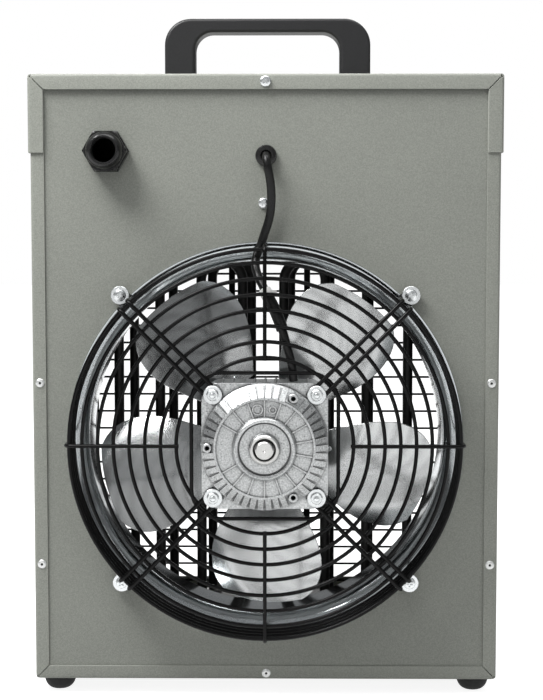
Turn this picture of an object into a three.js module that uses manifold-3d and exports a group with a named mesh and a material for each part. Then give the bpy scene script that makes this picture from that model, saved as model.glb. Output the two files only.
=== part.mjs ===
// Portable box fan heater: a sheet-metal case with a wire-guarded axial fan at the intake, two rows of
// U-shaped heating elements behind it, an outlet grille, a control bay on top and a carrying handle.
// Millimetres, +Z up. +X is to the right seen from the intake side. Air flows along +Y.
// While it is built, y = 0 is the outer face of the rear (intake) panel and z = 0 is the floor. The group
// at the end moves everything along Y so that the origin is at the middle of the bottom of the whole.
import * as THREE from 'three';
import { mergeVertices } from 'three/addons/utils/BufferGeometryUtils.js';
import Module from 'manifold-3d';

const wasm = await Module();
wasm.setup();

// ---- driving dimensions -------------------------------------------------------------------------
const GAP = 0.3; // between pieces that touch on the real object
const SHEET = 1.5; // sheet steel of the case, cover and panels
const CASE_WIDTH = 409;
const CASE_HEIGHT = 533;
const CASE_DEPTH = 300; // rear panel face to front panel face
const FLANGE = 12; // turned-in rim of the wrap
const MITRE = 0.6; // half of the slot where two flanges meet at a corner
const COVER_DROP = 68; // how far the top cover comes down the sides
const BAY_HEIGHT = 117; // control bay, from the shelf to the case top
const FOOT_RADIUS = 14.5;
const FOOT_HEIGHT = 14;
const FOOT_INSET = 18.5; // from the case side to the middle of a foot
const FOOT_Y = 22;

const FAN_HEIGHT = 214.7; // fan axis above the case bottom
const BLADE_COUNT = 5;
const BLADE_TIP = 150;
const BLADE_ROOT = 50;
const BLADE_HALF = 61; // half of a blade's widest chord
const BLADE_SHEET = 1.6;
const BLADE_PITCH = 21; // degrees
const BLADE_Y = 27;
const TIP_CLEARANCE = 6.5; // between the blade tips and the throat
const LIP_WIDTH = 17; // of the bell mouth, outside the throat
const RING_SHEET = 1.2;
const RING_DEPTH = 55;
const RING_SIDES = 36;
const RING_CLEARANCE = 2; // round the bell mouth where it passes through the rear panel
const HUB_RADIUS = 14;
const ARM_RADIUS = 76;
const ARM_HALF = 15; // half of a spider arm's width
const SHAFT_RADIUS = 6;
const SHAFT_END = 76; // how far the shaft stands behind the rear panel
const WASHER_RADIUS = 8;

const MOTOR_SIZE = 108;
const MOTOR_CORNER = 15;
const MOTOR_SCREW_INSET = 10; // from the side of the square body to a screw
const MOTOR_FACE = -46;
const MOTOR_FRONT = 6;
const BELL_MARGIN = 1.25; // of the square body outside the round end bell
const MOTOR_WALL = 7; // round the stator
const BEARING_RADIUS = 15.2;

const GUARD_PLANE = -45.2;
const RING_WIRE = 1.7;
const SPOKE_WIRE = 1.9;
const GUARD_STEP = 13.4;
const GUARD_INSET = 6.5; // of the basket's side inside the bell mouth's lip
const GUARD_SIDE_STEP = 10;
const GUARD_SIDE_RINGS = 4;
const SQUARE_CLEARANCE = 7; // between the motor and the square wire round it
const SQUARE_WIRE = 3;
const LOOP_SPREAD = 5; // half the distance between the two wires of a diagonal arm

const PLATE_HEIGHT = 34;
const ELEMENT_RADIUS = 5;
const ELEMENT_PITCH = 38.7;
const ELEMENT_TOP_GAP = 39; // between the elements and the shelf
const ELEMENT_BOTTOM = 16;
const ELEMENT_ROWS = [{ y: 95, x: -3.5 }, { y: 175, x: 3 }];
const ELEMENTS_PER_ROW = 4;

const OPENING_MARGIN = 21; // of the front panel beside the outlet opening
const OPENING_BOTTOM = 26;
const OPENING_TOP_GAP = 12; // between the opening and the shelf
const GRILLE_LAP = 8; // of the wires behind the panel, beside the opening
const GRILLE_WIRE = 2.3;
const GRILLE_PITCH = 18.4;
const GRILLE_BAR = 6.6;
const GRILLE_BARS_X = [-40, 40];

const GLAND = { x: -138, aboveShelf: 50, flats: 35, bore: 10.4, hole: 12.6 };
const BUSH = { x: 0.5, aboveShelf: 46.5, radius: 9.3, hole: 4.1 };
const CABLE_RADIUS = 3.75;
// The motor lead from the control bay through the bush, down behind the guard and to the motor.
const CABLE_ROUTE = [
  [0.5, 24, 476.5], [0.5, 8, 476.5], [0.5, -6, 476.5], [1, -12.6, 473.6], [2.2, -15.4, 466], [4.2, -14, 455],
  [5.2, -11.5, 443], [4.8, -9, 431], [2.8, -7.5, 420], [-0.8, -6.9, 409], [-4.4, -7, 398], [-8, -9.2, 388.5],
  [-8.3, -15, 380], [-5.5, -23, 371.5], [-1.5, -30, 363.5], [2.5, -34, 355.5], [8, -36.5, 345],
  [14, -38, 330], [19.5, -38.2, 311], [23, -37.8, 297], [24.5, -37, 283.5],
];
const HANDLE = { width: 196, height: 66.5, leg: 29, bar: 13, depth: 28, outer: 25, inner: 17 };
const HANDLE_SCREW_RADIUS = 2.7;
const SMALL_HOLE = 2.3; // for the cover and shelf screws
const LARGE_HOLE = 2.8; // for the guard and motor screws
const SHELF_SCREW_X = -1.4;
const SHELF_SCREW_RISE = 5.5; // above the shelf
const COVER_SCREW_DROP = 6.8; // below the case top
const KNOB_ABOVE_SHELF = 57;
const KNOB_RADIUS = 21;
const KNOB_DEPTH = 20;
const SPINDLE_RADIUS = 3;
const MODE_X = -75;
const THERMOSTAT_X = 75;
const TERMINALS = { x: -150, y: 70, depth: 28, height: 22, ways: 5, pitch: 14 };

// A worked-out length, to the tenth of a millimetre that a drawing would give.
const toTenth = (length) => Math.round(10 * length) / 10;

// ---- derived places -----------------------------------------------------------------------------
const BASE = FOOT_HEIGHT;
const TOP = BASE + CASE_HEIGHT;
const AXIS_Z = BASE + FAN_HEIGHT;
const HALF = CASE_WIDTH / 2;
const INNER = HALF - SHEET - GAP; // half width of what fits inside the wrap
const WRAP_FACE = SHEET + GAP; // wrap flange face beyond a panel face
const COVER_FACE = WRAP_FACE + SHEET + GAP;
const FOOT_X = HALF - FOOT_INSET;
const SHELF_Z = TOP - BAY_HEIGHT;
const PLATE_Z = BASE + PLATE_HEIGHT;
const KNOB_Z = SHELF_Z + KNOB_ABOVE_SHELF;
const COVER_SCREW_Z = TOP - COVER_SCREW_DROP;
const SHELF_SCREW_Z = SHELF_Z + SHELF_SCREW_RISE;
const GLAND_Z = SHELF_Z + GLAND.aboveShelf;
const BUSH_Z = SHELF_Z + BUSH.aboveShelf;
const OPENING_HALF = HALF - OPENING_MARGIN;
const OPENING_LOW = BASE + OPENING_BOTTOM;
const OPENING_HIGH = SHELF_Z - OPENING_TOP_GAP;

const THROAT_RADIUS = BLADE_TIP + TIP_CLEARANCE;
const LIP_RADIUS = THROAT_RADIUS + LIP_WIDTH;
const LIP_FACE = -GAP - RING_SHEET; // intake side of the bell mouth's lip
const BELL_CURVE = LIP_WIDTH - 1; // radius of the mouth's round, about the circle below
const BELL_CENTRE = { r: LIP_RADIUS - 1, y: BELL_CURVE + LIP_FACE };

const MOTOR_HALF = MOTOR_SIZE / 2;
const BELL_RADIUS = MOTOR_HALF - BELL_MARGIN;
const BORE_RADIUS = MOTOR_HALF - MOTOR_WALL;
const MOTOR_SCREW = MOTOR_HALF - MOTOR_SCREW_INSET;

const GUARD_OUTER = LIP_RADIUS - GUARD_INSET;
const GUARD_SCREW = toTenth((LIP_RADIUS + 5.8) / Math.SQRT2); // on the diagonals, just outside the lip
const SQUARE_HALF = MOTOR_HALF + SQUARE_CLEARANCE;
const MOTOR_REACH = (MOTOR_HALF - MOTOR_CORNER) * Math.SQRT2 + MOTOR_CORNER; // across its corners
const GUARD_FIRST = toTenth(MOTOR_REACH + 5.35);
const GUARD_RINGS = Math.floor((GUARD_OUTER - 8 - GUARD_FIRST) / GUARD_STEP) + 1;
const SPOKE_Y = GUARD_PLANE - RING_WIRE - SPOKE_WIRE + 0.8; // the arms are sunk in the rings as welds are

const group = new THREE.Group();

const FINISH = {
  coat: { color: 0x8f918a, roughness: 0.62, metalness: 0.25 },
  zinc: { color: 0xc9ccce, roughness: 0.3, metalness: 0.95 },
  galvanised: { color: 0xb4b9bb, roughness: 0.35, metalness: 0.9 },
  aluminium: { color: 0xcfd2d2, roughness: 0.35, metalness: 0.9 },
  cast: { color: 0xb6b9ba, roughness: 0.5, metalness: 0.85 },
  wire: { color: 0x111213, roughness: 0.45, metalness: 0.2 },
  nylon: { color: 0x151515, roughness: 0.5, metalness: 0 },
  rubber: { color: 0x1a1a1a, roughness: 0.85, metalness: 0 },
  element: { color: 0x1b1a19, roughness: 0.7, metalness: 0.4 },
  steel: { color: 0x84878a, roughness: 0.4, metalness: 0.9 },
};

// ---- making solids ------------------------------------------------------------------------------
function solid(geometry) {
  const bare = geometry.clone();
  for (const extra of ['normal', 'uv']) bare.deleteAttribute(extra);
  const merged = mergeVertices(bare, 1e-4);
  const corners = merged.index.array;
  const triVerts = [];
  for (let i = 0; i < corners.length; i += 3) {
    const [a, b, c] = [corners[i], corners[i + 1], corners[i + 2]];
    if (a !== b && b !== c && c !== a) triVerts.push(a, b, c);
  }
  const vertProperties = merged.attributes.position.array;
  const mesh = new wasm.Mesh({ numProp: 3, vertProperties, triVerts: new Uint32Array(triVerts) });
  return new wasm.Manifold(mesh);
}

function add(name, shape, finish) {
  const made = shape.getMesh();
  const geometry = new THREE.BufferGeometry();
  geometry.setAttribute('position', new THREE.BufferAttribute(made.vertProperties.slice(), 3));
  geometry.setIndex(new THREE.BufferAttribute(made.triVerts.slice(), 1));
  geometry.computeVertexNormals();
  const mesh = new THREE.Mesh(geometry, new THREE.MeshStandardMaterial(FINISH[finish]));
  mesh.name = name;
  group.add(mesh);
}

function join(...shapes) {
  return shapes.reduce((whole, shape) => whole.add(shape));
}

function block([x0, x1], [y0, y1], [z0, z1]) {
  const box = new THREE.BoxGeometry(x1 - x0, y1 - y0, z1 - z0);
  return solid(box.translate((x0 + x1) / 2, (y0 + y1) / 2, (z0 + z1) / 2));
}

// A rod along Y, or along Z.
function rodY(radius, y0, y1, x, z, sides = 16) {
  const rod = new THREE.CylinderGeometry(radius, radius, y1 - y0, sides);
  return solid(rod.translate(x, (y0 + y1) / 2, z));
}

function rodZ(radius, z0, z1, x, y, sides = 12) {
  const rod = new THREE.CylinderGeometry(radius, radius, z1 - z0, sides).rotateX(Math.PI / 2);
  return solid(rod.translate(x, y, (z0 + z1) / 2));
}

// A turned piece about Y through (x, z). The profile is a closed outline of [radius, y] points.
function turned(profile, x, z, sides = 24) {
  let area = 0;
  profile.forEach(([r, y], i) => {
    const [nextR, nextY] = profile[(i + 1) % profile.length];
    area += r * nextY - nextR * y;
  });
  const ordered = area > 0 ? profile : [...profile].reverse();
  const outline = [...ordered, ordered[0]].map(([r, y]) => new THREE.Vector2(r, y));
  return solid(new THREE.LatheGeometry(outline, sides).translate(x, 0, z));
}

// A flat outline in X and Z, made solid between two Y planes. Points that meet another are left out.
function plate(shape, y0, y1, curveSegments = 8) {
  const apart = (points) => points.filter((point, i) => point.distanceTo(points.at(i - 1)) > 0.01);
  const { shape: edge, holes } = shape.extractPoints(curveSegments);
  const flatShape = new THREE.Shape(apart(edge));
  flatShape.holes = holes.map((hole) => new THREE.Path(apart(hole)));
  const flat = new THREE.ExtrudeGeometry(flatShape, { depth: y1 - y0, bevelEnabled: false });
  return solid(flat.rotateX(Math.PI / 2).translate(0, y1, 0));
}

function outline(points) {
  return new THREE.Shape(points.map(([x, z]) => new THREE.Vector2(x, z)));
}

function rectangle(x0, x1, z0, z1) {
  return outline([[x0, z0], [x1, z0], [x1, z1], [x0, z1]]);
}

function rounded(x0, x1, z0, z1, radius) {
  const shape = new THREE.Shape();
  shape.absarc(x1 - radius, z0 + radius, radius, -Math.PI / 2, 0);
  shape.absarc(x1 - radius, z1 - radius, radius, 0, Math.PI / 2);
  shape.absarc(x0 + radius, z1 - radius, radius, Math.PI / 2, Math.PI);
  shape.absarc(x0 + radius, z0 + radius, radius, Math.PI, Math.PI * 1.5);
  return shape;
}

// A path whose cross-sections stand exactly at the given points.
class WirePath extends THREE.Curve {
  constructor(points) {
    super();
    this.points = points.map(([x, y, z]) => new THREE.Vector3(x, y, z));
  }

  getPoint(t, target = new THREE.Vector3()) {
    const place = t * (this.points.length - 1);
    const i = Math.min(Math.floor(place), this.points.length - 2);
    return target.lerpVectors(this.points[i], this.points[i + 1], place - i);
  }

  getUtoTmapping(u) {
    return u;
  }
}

function wire(points, radius, sides = 6) {
  const section = new THREE.Shape();
  for (let i = 0; i < sides; i++) {
    const angle = ((i + 0.5) / sides) * 2 * Math.PI;
    const corner = [radius * Math.cos(angle), radius * Math.sin(angle)];
    if (i === 0) section.moveTo(...corner);
    else section.lineTo(...corner);
  }
  const path = new WirePath(points);
  const steps = points.length - 1;
  return solid(new THREE.ExtrudeGeometry(section, { steps, extrudePath: path, bevelEnabled: false }));
}

function hexagon(flats, y0, y1, x, z) {
  return rodY(flats / Math.sqrt(3), y0, y1, x, z, 6);
}

// ---- case ---------------------------------------------------------------------------------------
// One flange strip: its outer edge runs from a to b, and its ends are cut at 45 degrees where mitred.
function flangeStrip(a, b, inward, width, mitred, y0, y1) {
  const along = new THREE.Vector2(b[0] - a[0], b[1] - a[1]).normalize();
  const end = (point, side, isMitred) => {
    const slot = isMitred ? MITRE : 0;
    const cut = isMitred ? width : 0;
    const outer = [point[0] + along.x * side * slot, point[1] + along.y * side * slot];
    const shift = side * (slot + cut);
    const x = point[0] + along.x * shift + inward[0] * width;
    const y = point[1] + along.y * shift + inward[1] * width;
    return [outer, [x, y]];
  };
  const [outerA, innerA] = end(a, 1, mitred[0]);
  const [outerB, innerB] = end(b, -1, mitred[1]);
  const points = [outerA, outerB, innerB, innerA];
  const turn = along.x * inward[1] - along.y * inward[0];
  return plate(outline(turn > 0 ? points : points.reverse()), y0, y1);
}

function casingWrap() {
  const top = TOP - SHEET - GAP;
  const [y0, y1] = [-WRAP_FACE, CASE_DEPTH + WRAP_FACE];
  const walls = plate(outline([
    [-HALF, BASE], [HALF, BASE], [HALF, top], [HALF - SHEET, top],
    [HALF - SHEET, BASE + SHEET], [SHEET - HALF, BASE + SHEET], [SHEET - HALF, top], [-HALF, top],
  ]), y0, y1);
  const strips = [[y0, y0 + SHEET], [y1 - SHEET, y1]].map(([near, far]) => join(
    flangeStrip([-HALF, BASE], [HALF, BASE], [0, 1], FLANGE, [true, true], near, far),
    flangeStrip([HALF, BASE], [HALF, top], [-1, 0], FLANGE, [true, false], near, far),
    flangeStrip([-HALF, BASE], [-HALF, top], [1, 0], FLANGE, [true, false], near, far),
  ));
  add('casing_wrap', join(walls, ...strips), 'coat');
}

function topCover() {
  const half = HALF + SHEET + GAP;
  const low = TOP - COVER_DROP;
  const [y0, y1] = [-COVER_FACE, CASE_DEPTH + COVER_FACE];
  const width = FLANGE + SHEET;
  const shell = plate(outline([
    [-half, low], [SHEET - half, low], [SHEET - half, TOP - SHEET], [half - SHEET, TOP - SHEET],
    [half - SHEET, low], [half, low], [half, TOP], [-half, TOP],
  ]), y0, y1);
  const strips = [[y0, y0 + SHEET], [y1 - SHEET, y1]].map(([near, far]) => join(
    flangeStrip([-half, TOP], [half, TOP], [0, -1], width, [true, true], near, far),
    flangeStrip([half, TOP], [half, low], [-1, 0], width, [true, false], near, far),
    flangeStrip([-half, TOP], [-half, low], [1, 0], width, [true, false], near, far),
  ));
  let cover = join(shell, ...strips);
  for (const side of [-1, 1]) {
    const x = side * handleLegX();
    cover = cover.subtract(rodZ(HANDLE_SCREW_RADIUS + GAP, TOP - 5, TOP + 5, x, CASE_DEPTH / 2));
  }
  cover = cover.subtract(rodY(SMALL_HOLE, y0 - 1, 0, 0, COVER_SCREW_Z, 8));
  add('top_cover', cover, 'coat');
}

function rearPanel() {
  const shape = rectangle(-INNER, INNER, BASE + SHEET + GAP, TOP - SHEET - GAP);
  let panel = plate(shape, 0, SHEET);
  const cut = (radius, x, z, sides) => {
    panel = panel.subtract(rodY(radius, -1, SHEET + 1, x, z, sides));
  };
  cut(ringOuter(0) + RING_CLEARANCE, 0, AXIS_Z, RING_SIDES);
  cut(GLAND.hole, GLAND.x, GLAND_Z, 16);
  cut(BUSH.radius - 1.5, BUSH.x, BUSH_Z, 12);
  cut(SMALL_HOLE, 0, COVER_SCREW_Z, 8);
  cut(SMALL_HOLE, SHELF_SCREW_X, SHELF_SCREW_Z, 8);
  for (const [x, z] of diagonals(GUARD_SCREW)) cut(LARGE_HOLE, x, z, 8);
  add('rear_panel', panel, 'coat');
}

// Four places round the fan axis, the same step out to the sides and up or down: upper left first.
function diagonals(step) {
  return [[-1, 1], [1, 1], [1, -1], [-1, -1]].map(([x, z]) => [x * step, AXIS_Z + z * step]);
}

function frontPanel() {
  const shape = rectangle(-INNER, INNER, BASE + SHEET + GAP, TOP - SHEET - GAP);
  shape.holes.push(rectangle(-OPENING_HALF, OPENING_HALF, OPENING_LOW, OPENING_HIGH));
  let panel = plate(shape, CASE_DEPTH - SHEET, CASE_DEPTH);
  for (const x of [MODE_X, THERMOSTAT_X]) {
    panel = panel.subtract(rodY(SPINDLE_RADIUS + 1, CASE_DEPTH - 5, CASE_DEPTH + 5, x, KNOB_Z, 12));
  }
  add('front_panel', panel, 'coat');
}

function partitionShelf() {
  const [y0, y1] = [SHEET + GAP, CASE_DEPTH - SHEET - GAP];
  const turnUp = 14;
  const shelf = join(
    block([-INNER, INNER], [y0, y1], [SHELF_Z, SHELF_Z + SHEET]),
    block([-INNER, INNER], [y0, y0 + SHEET], [SHELF_Z, SHELF_Z + turnUp]),
    block([-INNER, INNER], [y1 - SHEET, y1], [SHELF_Z, SHELF_Z + turnUp]),
  );
  const hole = rodY(SMALL_HOLE, y0 - 1, y0 + SHEET + 1, SHELF_SCREW_X, SHELF_SCREW_Z, 8);
  add('partition_shelf', shelf.subtract(hole), 'galvanised');
}

function baffles() {
  const [z0, z1] = [BASE + SHEET + GAP, SHELF_Z - GAP];
  const [y0, y1] = [RING_DEPTH + 8, CASE_DEPTH - SHEET - 12];
  for (const [name, side] of [['left_baffle', -1], ['right_baffle', 1]]) {
    const points = [
      [OPENING_HALF, z0], [INNER, z0], [INNER, z0 + SHEET], [OPENING_HALF + SHEET, z0 + SHEET],
      [OPENING_HALF + SHEET, z1 - SHEET], [INNER, z1 - SHEET], [INNER, z1], [OPENING_HALF, z1],
    ].map(([x, z]) => [side * x, z]);
    add(name, plate(outline(side > 0 ? points : points.reverse()), y0, y1), 'galvanised');
  }
}

// ---- outlet grille and elements -----------------------------------------------------------------
function outletGrille() {
  const half = OPENING_HALF + GRILLE_LAP;
  const back = CASE_DEPTH - SHEET - GAP - GRILLE_WIRE;
  const low = OPENING_LOW - 6;
  const high = OPENING_HIGH + 6;
  const bars = GRILLE_BARS_X.map((x) => block(
    [x - GRILLE_BAR / 2, x + GRILLE_BAR / 2], [back - GRILLE_WIRE * 0.7, back + 0.4], [low, high],
  ));
  const wires = [];
  for (let z = low + GRILLE_WIRE; z < high; z += GRILLE_PITCH) {
    wires.push(block([-half, half], [back, back + GRILLE_WIRE], [z - GRILLE_WIRE / 2, z + GRILLE_WIRE / 2]));
  }
  add('outlet_grille', join(...bars, ...wires), 'wire');
}

function elementLegs() {
  return ELEMENT_ROWS.flatMap(({ y, x }) => {
    const first = x - (ELEMENTS_PER_ROW - 0.5) * ELEMENT_PITCH;
    return Array.from({ length: ELEMENTS_PER_ROW }, (_, i) => [first + 2 * i * ELEMENT_PITCH, y]);
  });
}

function heaterPlate() {
  const ys = ELEMENT_ROWS.map((row) => row.y);
  const [y0, y1] = [Math.min(...ys) - 24, Math.max(...ys) + 24];
  const half = OPENING_HALF - GAP;
  const floor = BASE + SHEET + GAP;
  let bracket = join(
    block([-half, half], [y0, y1], [PLATE_Z, PLATE_Z + SHEET]),
    block([-half, half], [y0, y0 + SHEET], [floor, PLATE_Z + SHEET]),
    block([-half, half], [y1 - SHEET, y1], [floor, PLATE_Z + SHEET]),
  );
  for (const [x, y] of elementLegs()) {
    for (const leg of [x, x + ELEMENT_PITCH]) {
      bracket = bracket.subtract(rodZ(ELEMENT_RADIUS + 0.8, PLATE_Z - 2, PLATE_Z + 4, leg, y, 8));
    }
  }
  add('heater_plate', bracket, 'galvanised');
}

function heaterElements() {
  const bend = ELEMENT_PITCH / 2;
  const crown = SHELF_Z - ELEMENT_TOP_GAP - ELEMENT_RADIUS - bend;
  const foot = BASE + ELEMENT_BOTTOM;
  elementLegs().forEach(([x, y], i) => {
    const arc = Array.from({ length: 6 }, (_, k) => {
      const angle = Math.PI * (1 - k / 5);
      return [x + bend + bend * Math.cos(angle), y, crown + bend * Math.sin(angle)];
    });
    const path = [[x, y, foot], ...arc, [x + 2 * bend, y, foot]];
    add(`heater_element_${i + 1}`, wire(path, ELEMENT_RADIUS, 8), 'element');
  });
}

// ---- fan ----------------------------------------------------------------------------------------
// Outer radius of the bell mouth where it passes a depth y behind the rear panel face.
function ringOuter(y) {
  const inner = BELL_CURVE - RING_SHEET;
  return BELL_CENTRE.r - Math.sqrt(Math.max(inner * inner - (BELL_CENTRE.y - y) ** 2, 0));
}

function inletRing() {
  const curve = (radius) => Array.from({ length: 5 }, (_, i) => {
    const angle = (i / 4) * (Math.PI / 2);
    return [BELL_CENTRE.r - radius * Math.sin(angle), BELL_CENTRE.y - radius * Math.cos(angle)];
  });
  const inside = curve(BELL_CURVE);
  const outside = curve(BELL_CURVE - RING_SHEET);
  const profile = [
    [LIP_RADIUS, inside[0][1]], ...inside, [THROAT_RADIUS, RING_DEPTH],
    [THROAT_RADIUS + RING_SHEET, RING_DEPTH], ...outside.reverse(), [LIP_RADIUS, -GAP],
  ];
  add('inlet_ring', turned(profile, 0, AXIS_Z, RING_SIDES), 'galvanised');
}

// Turns a solid that is built for the 12 o'clock place round the fan axis, clockwise from the intake side.
function aroundAxis(shape, degrees) {
  return shape.translate([0, 0, -AXIS_Z]).rotate([0, degrees, 0]).translate([0, 0, AXIS_Z]);
}

function bladeShape() {
  const shape = new THREE.Shape();
  const root = 26;
  const half = BLADE_HALF;
  const tip = half - 21;
  const tipAngle = Math.acos(tip / BLADE_TIP);
  const widest = BLADE_TIP - 38;
  const shoulder = BLADE_TIP - 12;
  shape.moveTo(-root, BLADE_ROOT);
  shape.lineTo(root, BLADE_ROOT);
  shape.bezierCurveTo(half - 15, BLADE_ROOT + 26, half + 1, BLADE_ROOT + 44, half, widest);
  shape.bezierCurveTo(half, widest + 16, half - 6, shoulder, tip, BLADE_TIP * Math.sin(tipAngle));
  shape.absarc(0, 0, BLADE_TIP, tipAngle, Math.PI - tipAngle);
  shape.bezierCurveTo(6 - half, shoulder, -half, widest + 16, -half, widest);
  shape.bezierCurveTo(-half - 1, BLADE_ROOT + 44, 15 - half, BLADE_ROOT + 26, -root, BLADE_ROOT);
  return shape;
}

// A flat piece on a blade's own plane: built upright, pitched about its radial line, put on the axis.
function pitched(shape, offset, thickness) {
  const flat = plate(shape, offset, offset + thickness, 5);
  return flat.rotate([0, 0, BLADE_PITCH]).translate([0, BLADE_Y, AXIS_Z]);
}

function fanWheel() {
  const blade = pitched(bladeShape(), -BLADE_SHEET / 2, BLADE_SHEET);
  const arm = pitched(rectangle(-ARM_HALF, ARM_HALF, HUB_RADIUS - 5, ARM_RADIUS), BLADE_SHEET / 2 + GAP, 2);
  const bore = SHAFT_RADIUS + GAP;
  let hub = turned([[bore, 11], [HUB_RADIUS, 11], [HUB_RADIUS, 44], [bore, 44]], 0, AXIS_Z, 20);
  for (let i = 0; i < BLADE_COUNT; i++) {
    const angle = 180 + (i * 360) / BLADE_COUNT;
    hub = hub.add(aroundAxis(arm, angle));
    add(`fan_blade_${i + 1}`, aroundAxis(blade, angle), 'aluminium');
  }
  add('fan_hub', hub, 'steel');
}

// ---- motor --------------------------------------------------------------------------------------
function motor() {
  const half = MOTOR_HALF;
  const journal = SHAFT_RADIUS + 1.5;
  const bore = journal + 0.4;
  const wall = MOTOR_FRONT - 10;
  const pocket = BEARING_RADIUS + GAP;
  const outline = rounded(-half, half, AXIS_Z - half, AXIS_Z + half, MOTOR_CORNER);
  let body = plate(outline, MOTOR_FACE, MOTOR_FRONT, 4);
  body = body.subtract(rodY(BORE_RADIUS, MOTOR_FACE - 1, wall, 0, AXIS_Z, 24));
  body = body.subtract(rodY(pocket, wall - 1, MOTOR_FRONT - 3, 0, AXIS_Z, 16));
  body = body.subtract(rodY(bore, wall, MOTOR_FRONT + 1, 0, AXIS_Z, 16));
  for (const [x, z] of diagonals(MOTOR_SCREW)) {
    body = body.subtract(rodY(LARGE_HOLE, MOTOR_FACE - 1, MOTOR_FACE + 14, x, z, 8));
  }
  add('motor_housing', body, 'cast');

  const f = MOTOR_FACE - GAP;
  add('motor_end_bell', turned([
    [BELL_RADIUS, f], [BELL_RADIUS, f - 6], [BELL_RADIUS - 10.75, f - 17], [26, f - 17], [25, f - 21],
    [21, f - 18.5], [12.5, f - 18.5], [12.5, f - 25], [bore, f - 25], [bore, f - 15],
    [pocket, f - 15], [pocket, f - 4], [19, f - 4], [19, f - 12], [BELL_RADIUS - 14.75, f - 12],
    [BELL_RADIUS - 4.75, f - 4], [BELL_RADIUS - 4.75, f],
  ], 0, AXIS_Z, 24), 'cast');
  const stator = BORE_RADIUS - GAP - 0.6;
  const rotor = 23.5;
  const inside = rotor + 1;
  const core = [[inside, -41], [stator, -41], [stator, -8], [inside, -8]];
  add('stator_core', turned(core, 0, AXIS_Z, 24), 'steel');
  add('rotor_core', turned([[bore, -39], [rotor, -39], [rotor, -10], [bore, -10]], 0, AXIS_Z, 16), 'steel');
  add('motor_shaft', turned([
    [0, -SHAFT_END], [journal, -SHAFT_END], [journal, MOTOR_FRONT + 2], [SHAFT_RADIUS, MOTOR_FRONT + 2],
    [SHAFT_RADIUS, 47], [0, 47],
  ], 0, AXIS_Z, 16), 'steel');
  for (const [name, y] of [['rear_bearing', f - 14.5], ['front_bearing', wall - 3.5]]) {
    const race = [[bore, y], [BEARING_RADIUS, y], [BEARING_RADIUS, y + 9], [bore, y + 9]];
    add(name, turned(race, 0, AXIS_Z, 16), 'steel');
  }
}

// ---- guard --------------------------------------------------------------------------------------
function guardRing(radius, y) {
  const ring = new THREE.TorusGeometry(radius, RING_WIRE, 4, 24).rotateX(Math.PI / 2);
  return solid(ring.translate(0, y, AXIS_Z));
}

// A hairpin of wire built at 12 o'clock: both legs start at the motor, turn back to the panel at the
// basket's side and loop round the panel screw.
function diagonalArm() {
  const screw = GUARD_SCREW * Math.SQRT2;
  const start = MOTOR_SCREW * Math.SQRT2 - 6;
  const side = GUARD_OUTER + RING_WIRE + SPOKE_WIRE - 0.7;
  const low = LIP_FACE - GAP - SPOKE_WIRE;
  const leg = [
    [start, SPOKE_Y], [side - 6, SPOKE_Y], [side - 1.5, SPOKE_Y + 2], [side, SPOKE_Y + 6.5],
    [side, low - 5], [side + 1.2, low - 1.2], [side + 4.5, low],
  ];
  const loop = Array.from({ length: 5 }, (_, i) => {
    const angle = (i / 4) * Math.PI;
    return [LOOP_SPREAD * Math.cos(angle), low, screw + LOOP_SPREAD * Math.sin(angle)];
  });
  const right = leg.map(([r, y]) => [LOOP_SPREAD, y, r]);
  const left = leg.map(([r, y]) => [-LOOP_SPREAD, y, r]).reverse();
  return wire([...right, ...loop, ...left], SPOKE_WIRE, 4).translate([0, 0, AXIS_Z]);
}

function straightSpoke() {
  const side = GUARD_OUTER + RING_WIRE + RING_WIRE - 0.5;
  const last = GUARD_PLANE + (GUARD_SIDE_RINGS - 1) * GUARD_SIDE_STEP + 2;
  const path = [
    [0, SPOKE_Y + 0.2, GUARD_FIRST - 2.5], [0, SPOKE_Y + 0.2, side - 6], [0, SPOKE_Y + 2, side - 1.5],
    [0, SPOKE_Y + 6.5, side], [0, last, side],
  ];
  return wire(path, RING_WIRE, 4).translate([0, 0, AXIS_Z]);
}

function fanGuard() {
  const parts = [];
  for (let i = 0; i < GUARD_RINGS; i++) parts.push(guardRing(GUARD_FIRST + i * GUARD_STEP, GUARD_PLANE));
  for (let i = 0; i < GUARD_SIDE_RINGS; i++) {
    parts.push(guardRing(GUARD_OUTER, GUARD_PLANE + i * GUARD_SIDE_STEP));
  }
  const square = (half, radius) => rounded(-half, half, AXIS_Z - half, AXIS_Z + half, radius);
  const frame = square(SQUARE_HALF + SQUARE_WIRE, 16);
  frame.holes.push(square(SQUARE_HALF, 16 - SQUARE_WIRE));
  parts.push(plate(frame, GUARD_PLANE - RING_WIRE + 0.2, GUARD_PLANE + RING_WIRE - 0.2, 3));
  for (let i = 0; i < 4; i++) {
    parts.push(aroundAxis(diagonalArm(), 45 + 90 * i));
    parts.push(aroundAxis(straightSpoke(), 90 * i));
  }
  add('fan_guard', join(...parts), 'wire');
}

// ---- screws -------------------------------------------------------------------------------------
// A pan head screw along Y: its washer or head seats on the plane y = seat and its shank goes to +Y.
function panScrew(x, z, seat, shank, { head = 4.8, washer = 0, radius = 2.1 } = {}) {
  const base = washer ? seat - 1.2 : seat;
  const skirt = washer ? [[washer, seat], [washer, base]] : [];
  const profile = [
    [0, seat + shank], [radius, seat + shank], [radius, seat], ...skirt, [head, base],
    [head, base - 1.4], [head * 0.62, base - 2.9], [0, base - 2.9],
  ];
  return turned(profile, x, z, 8);
}

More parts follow.
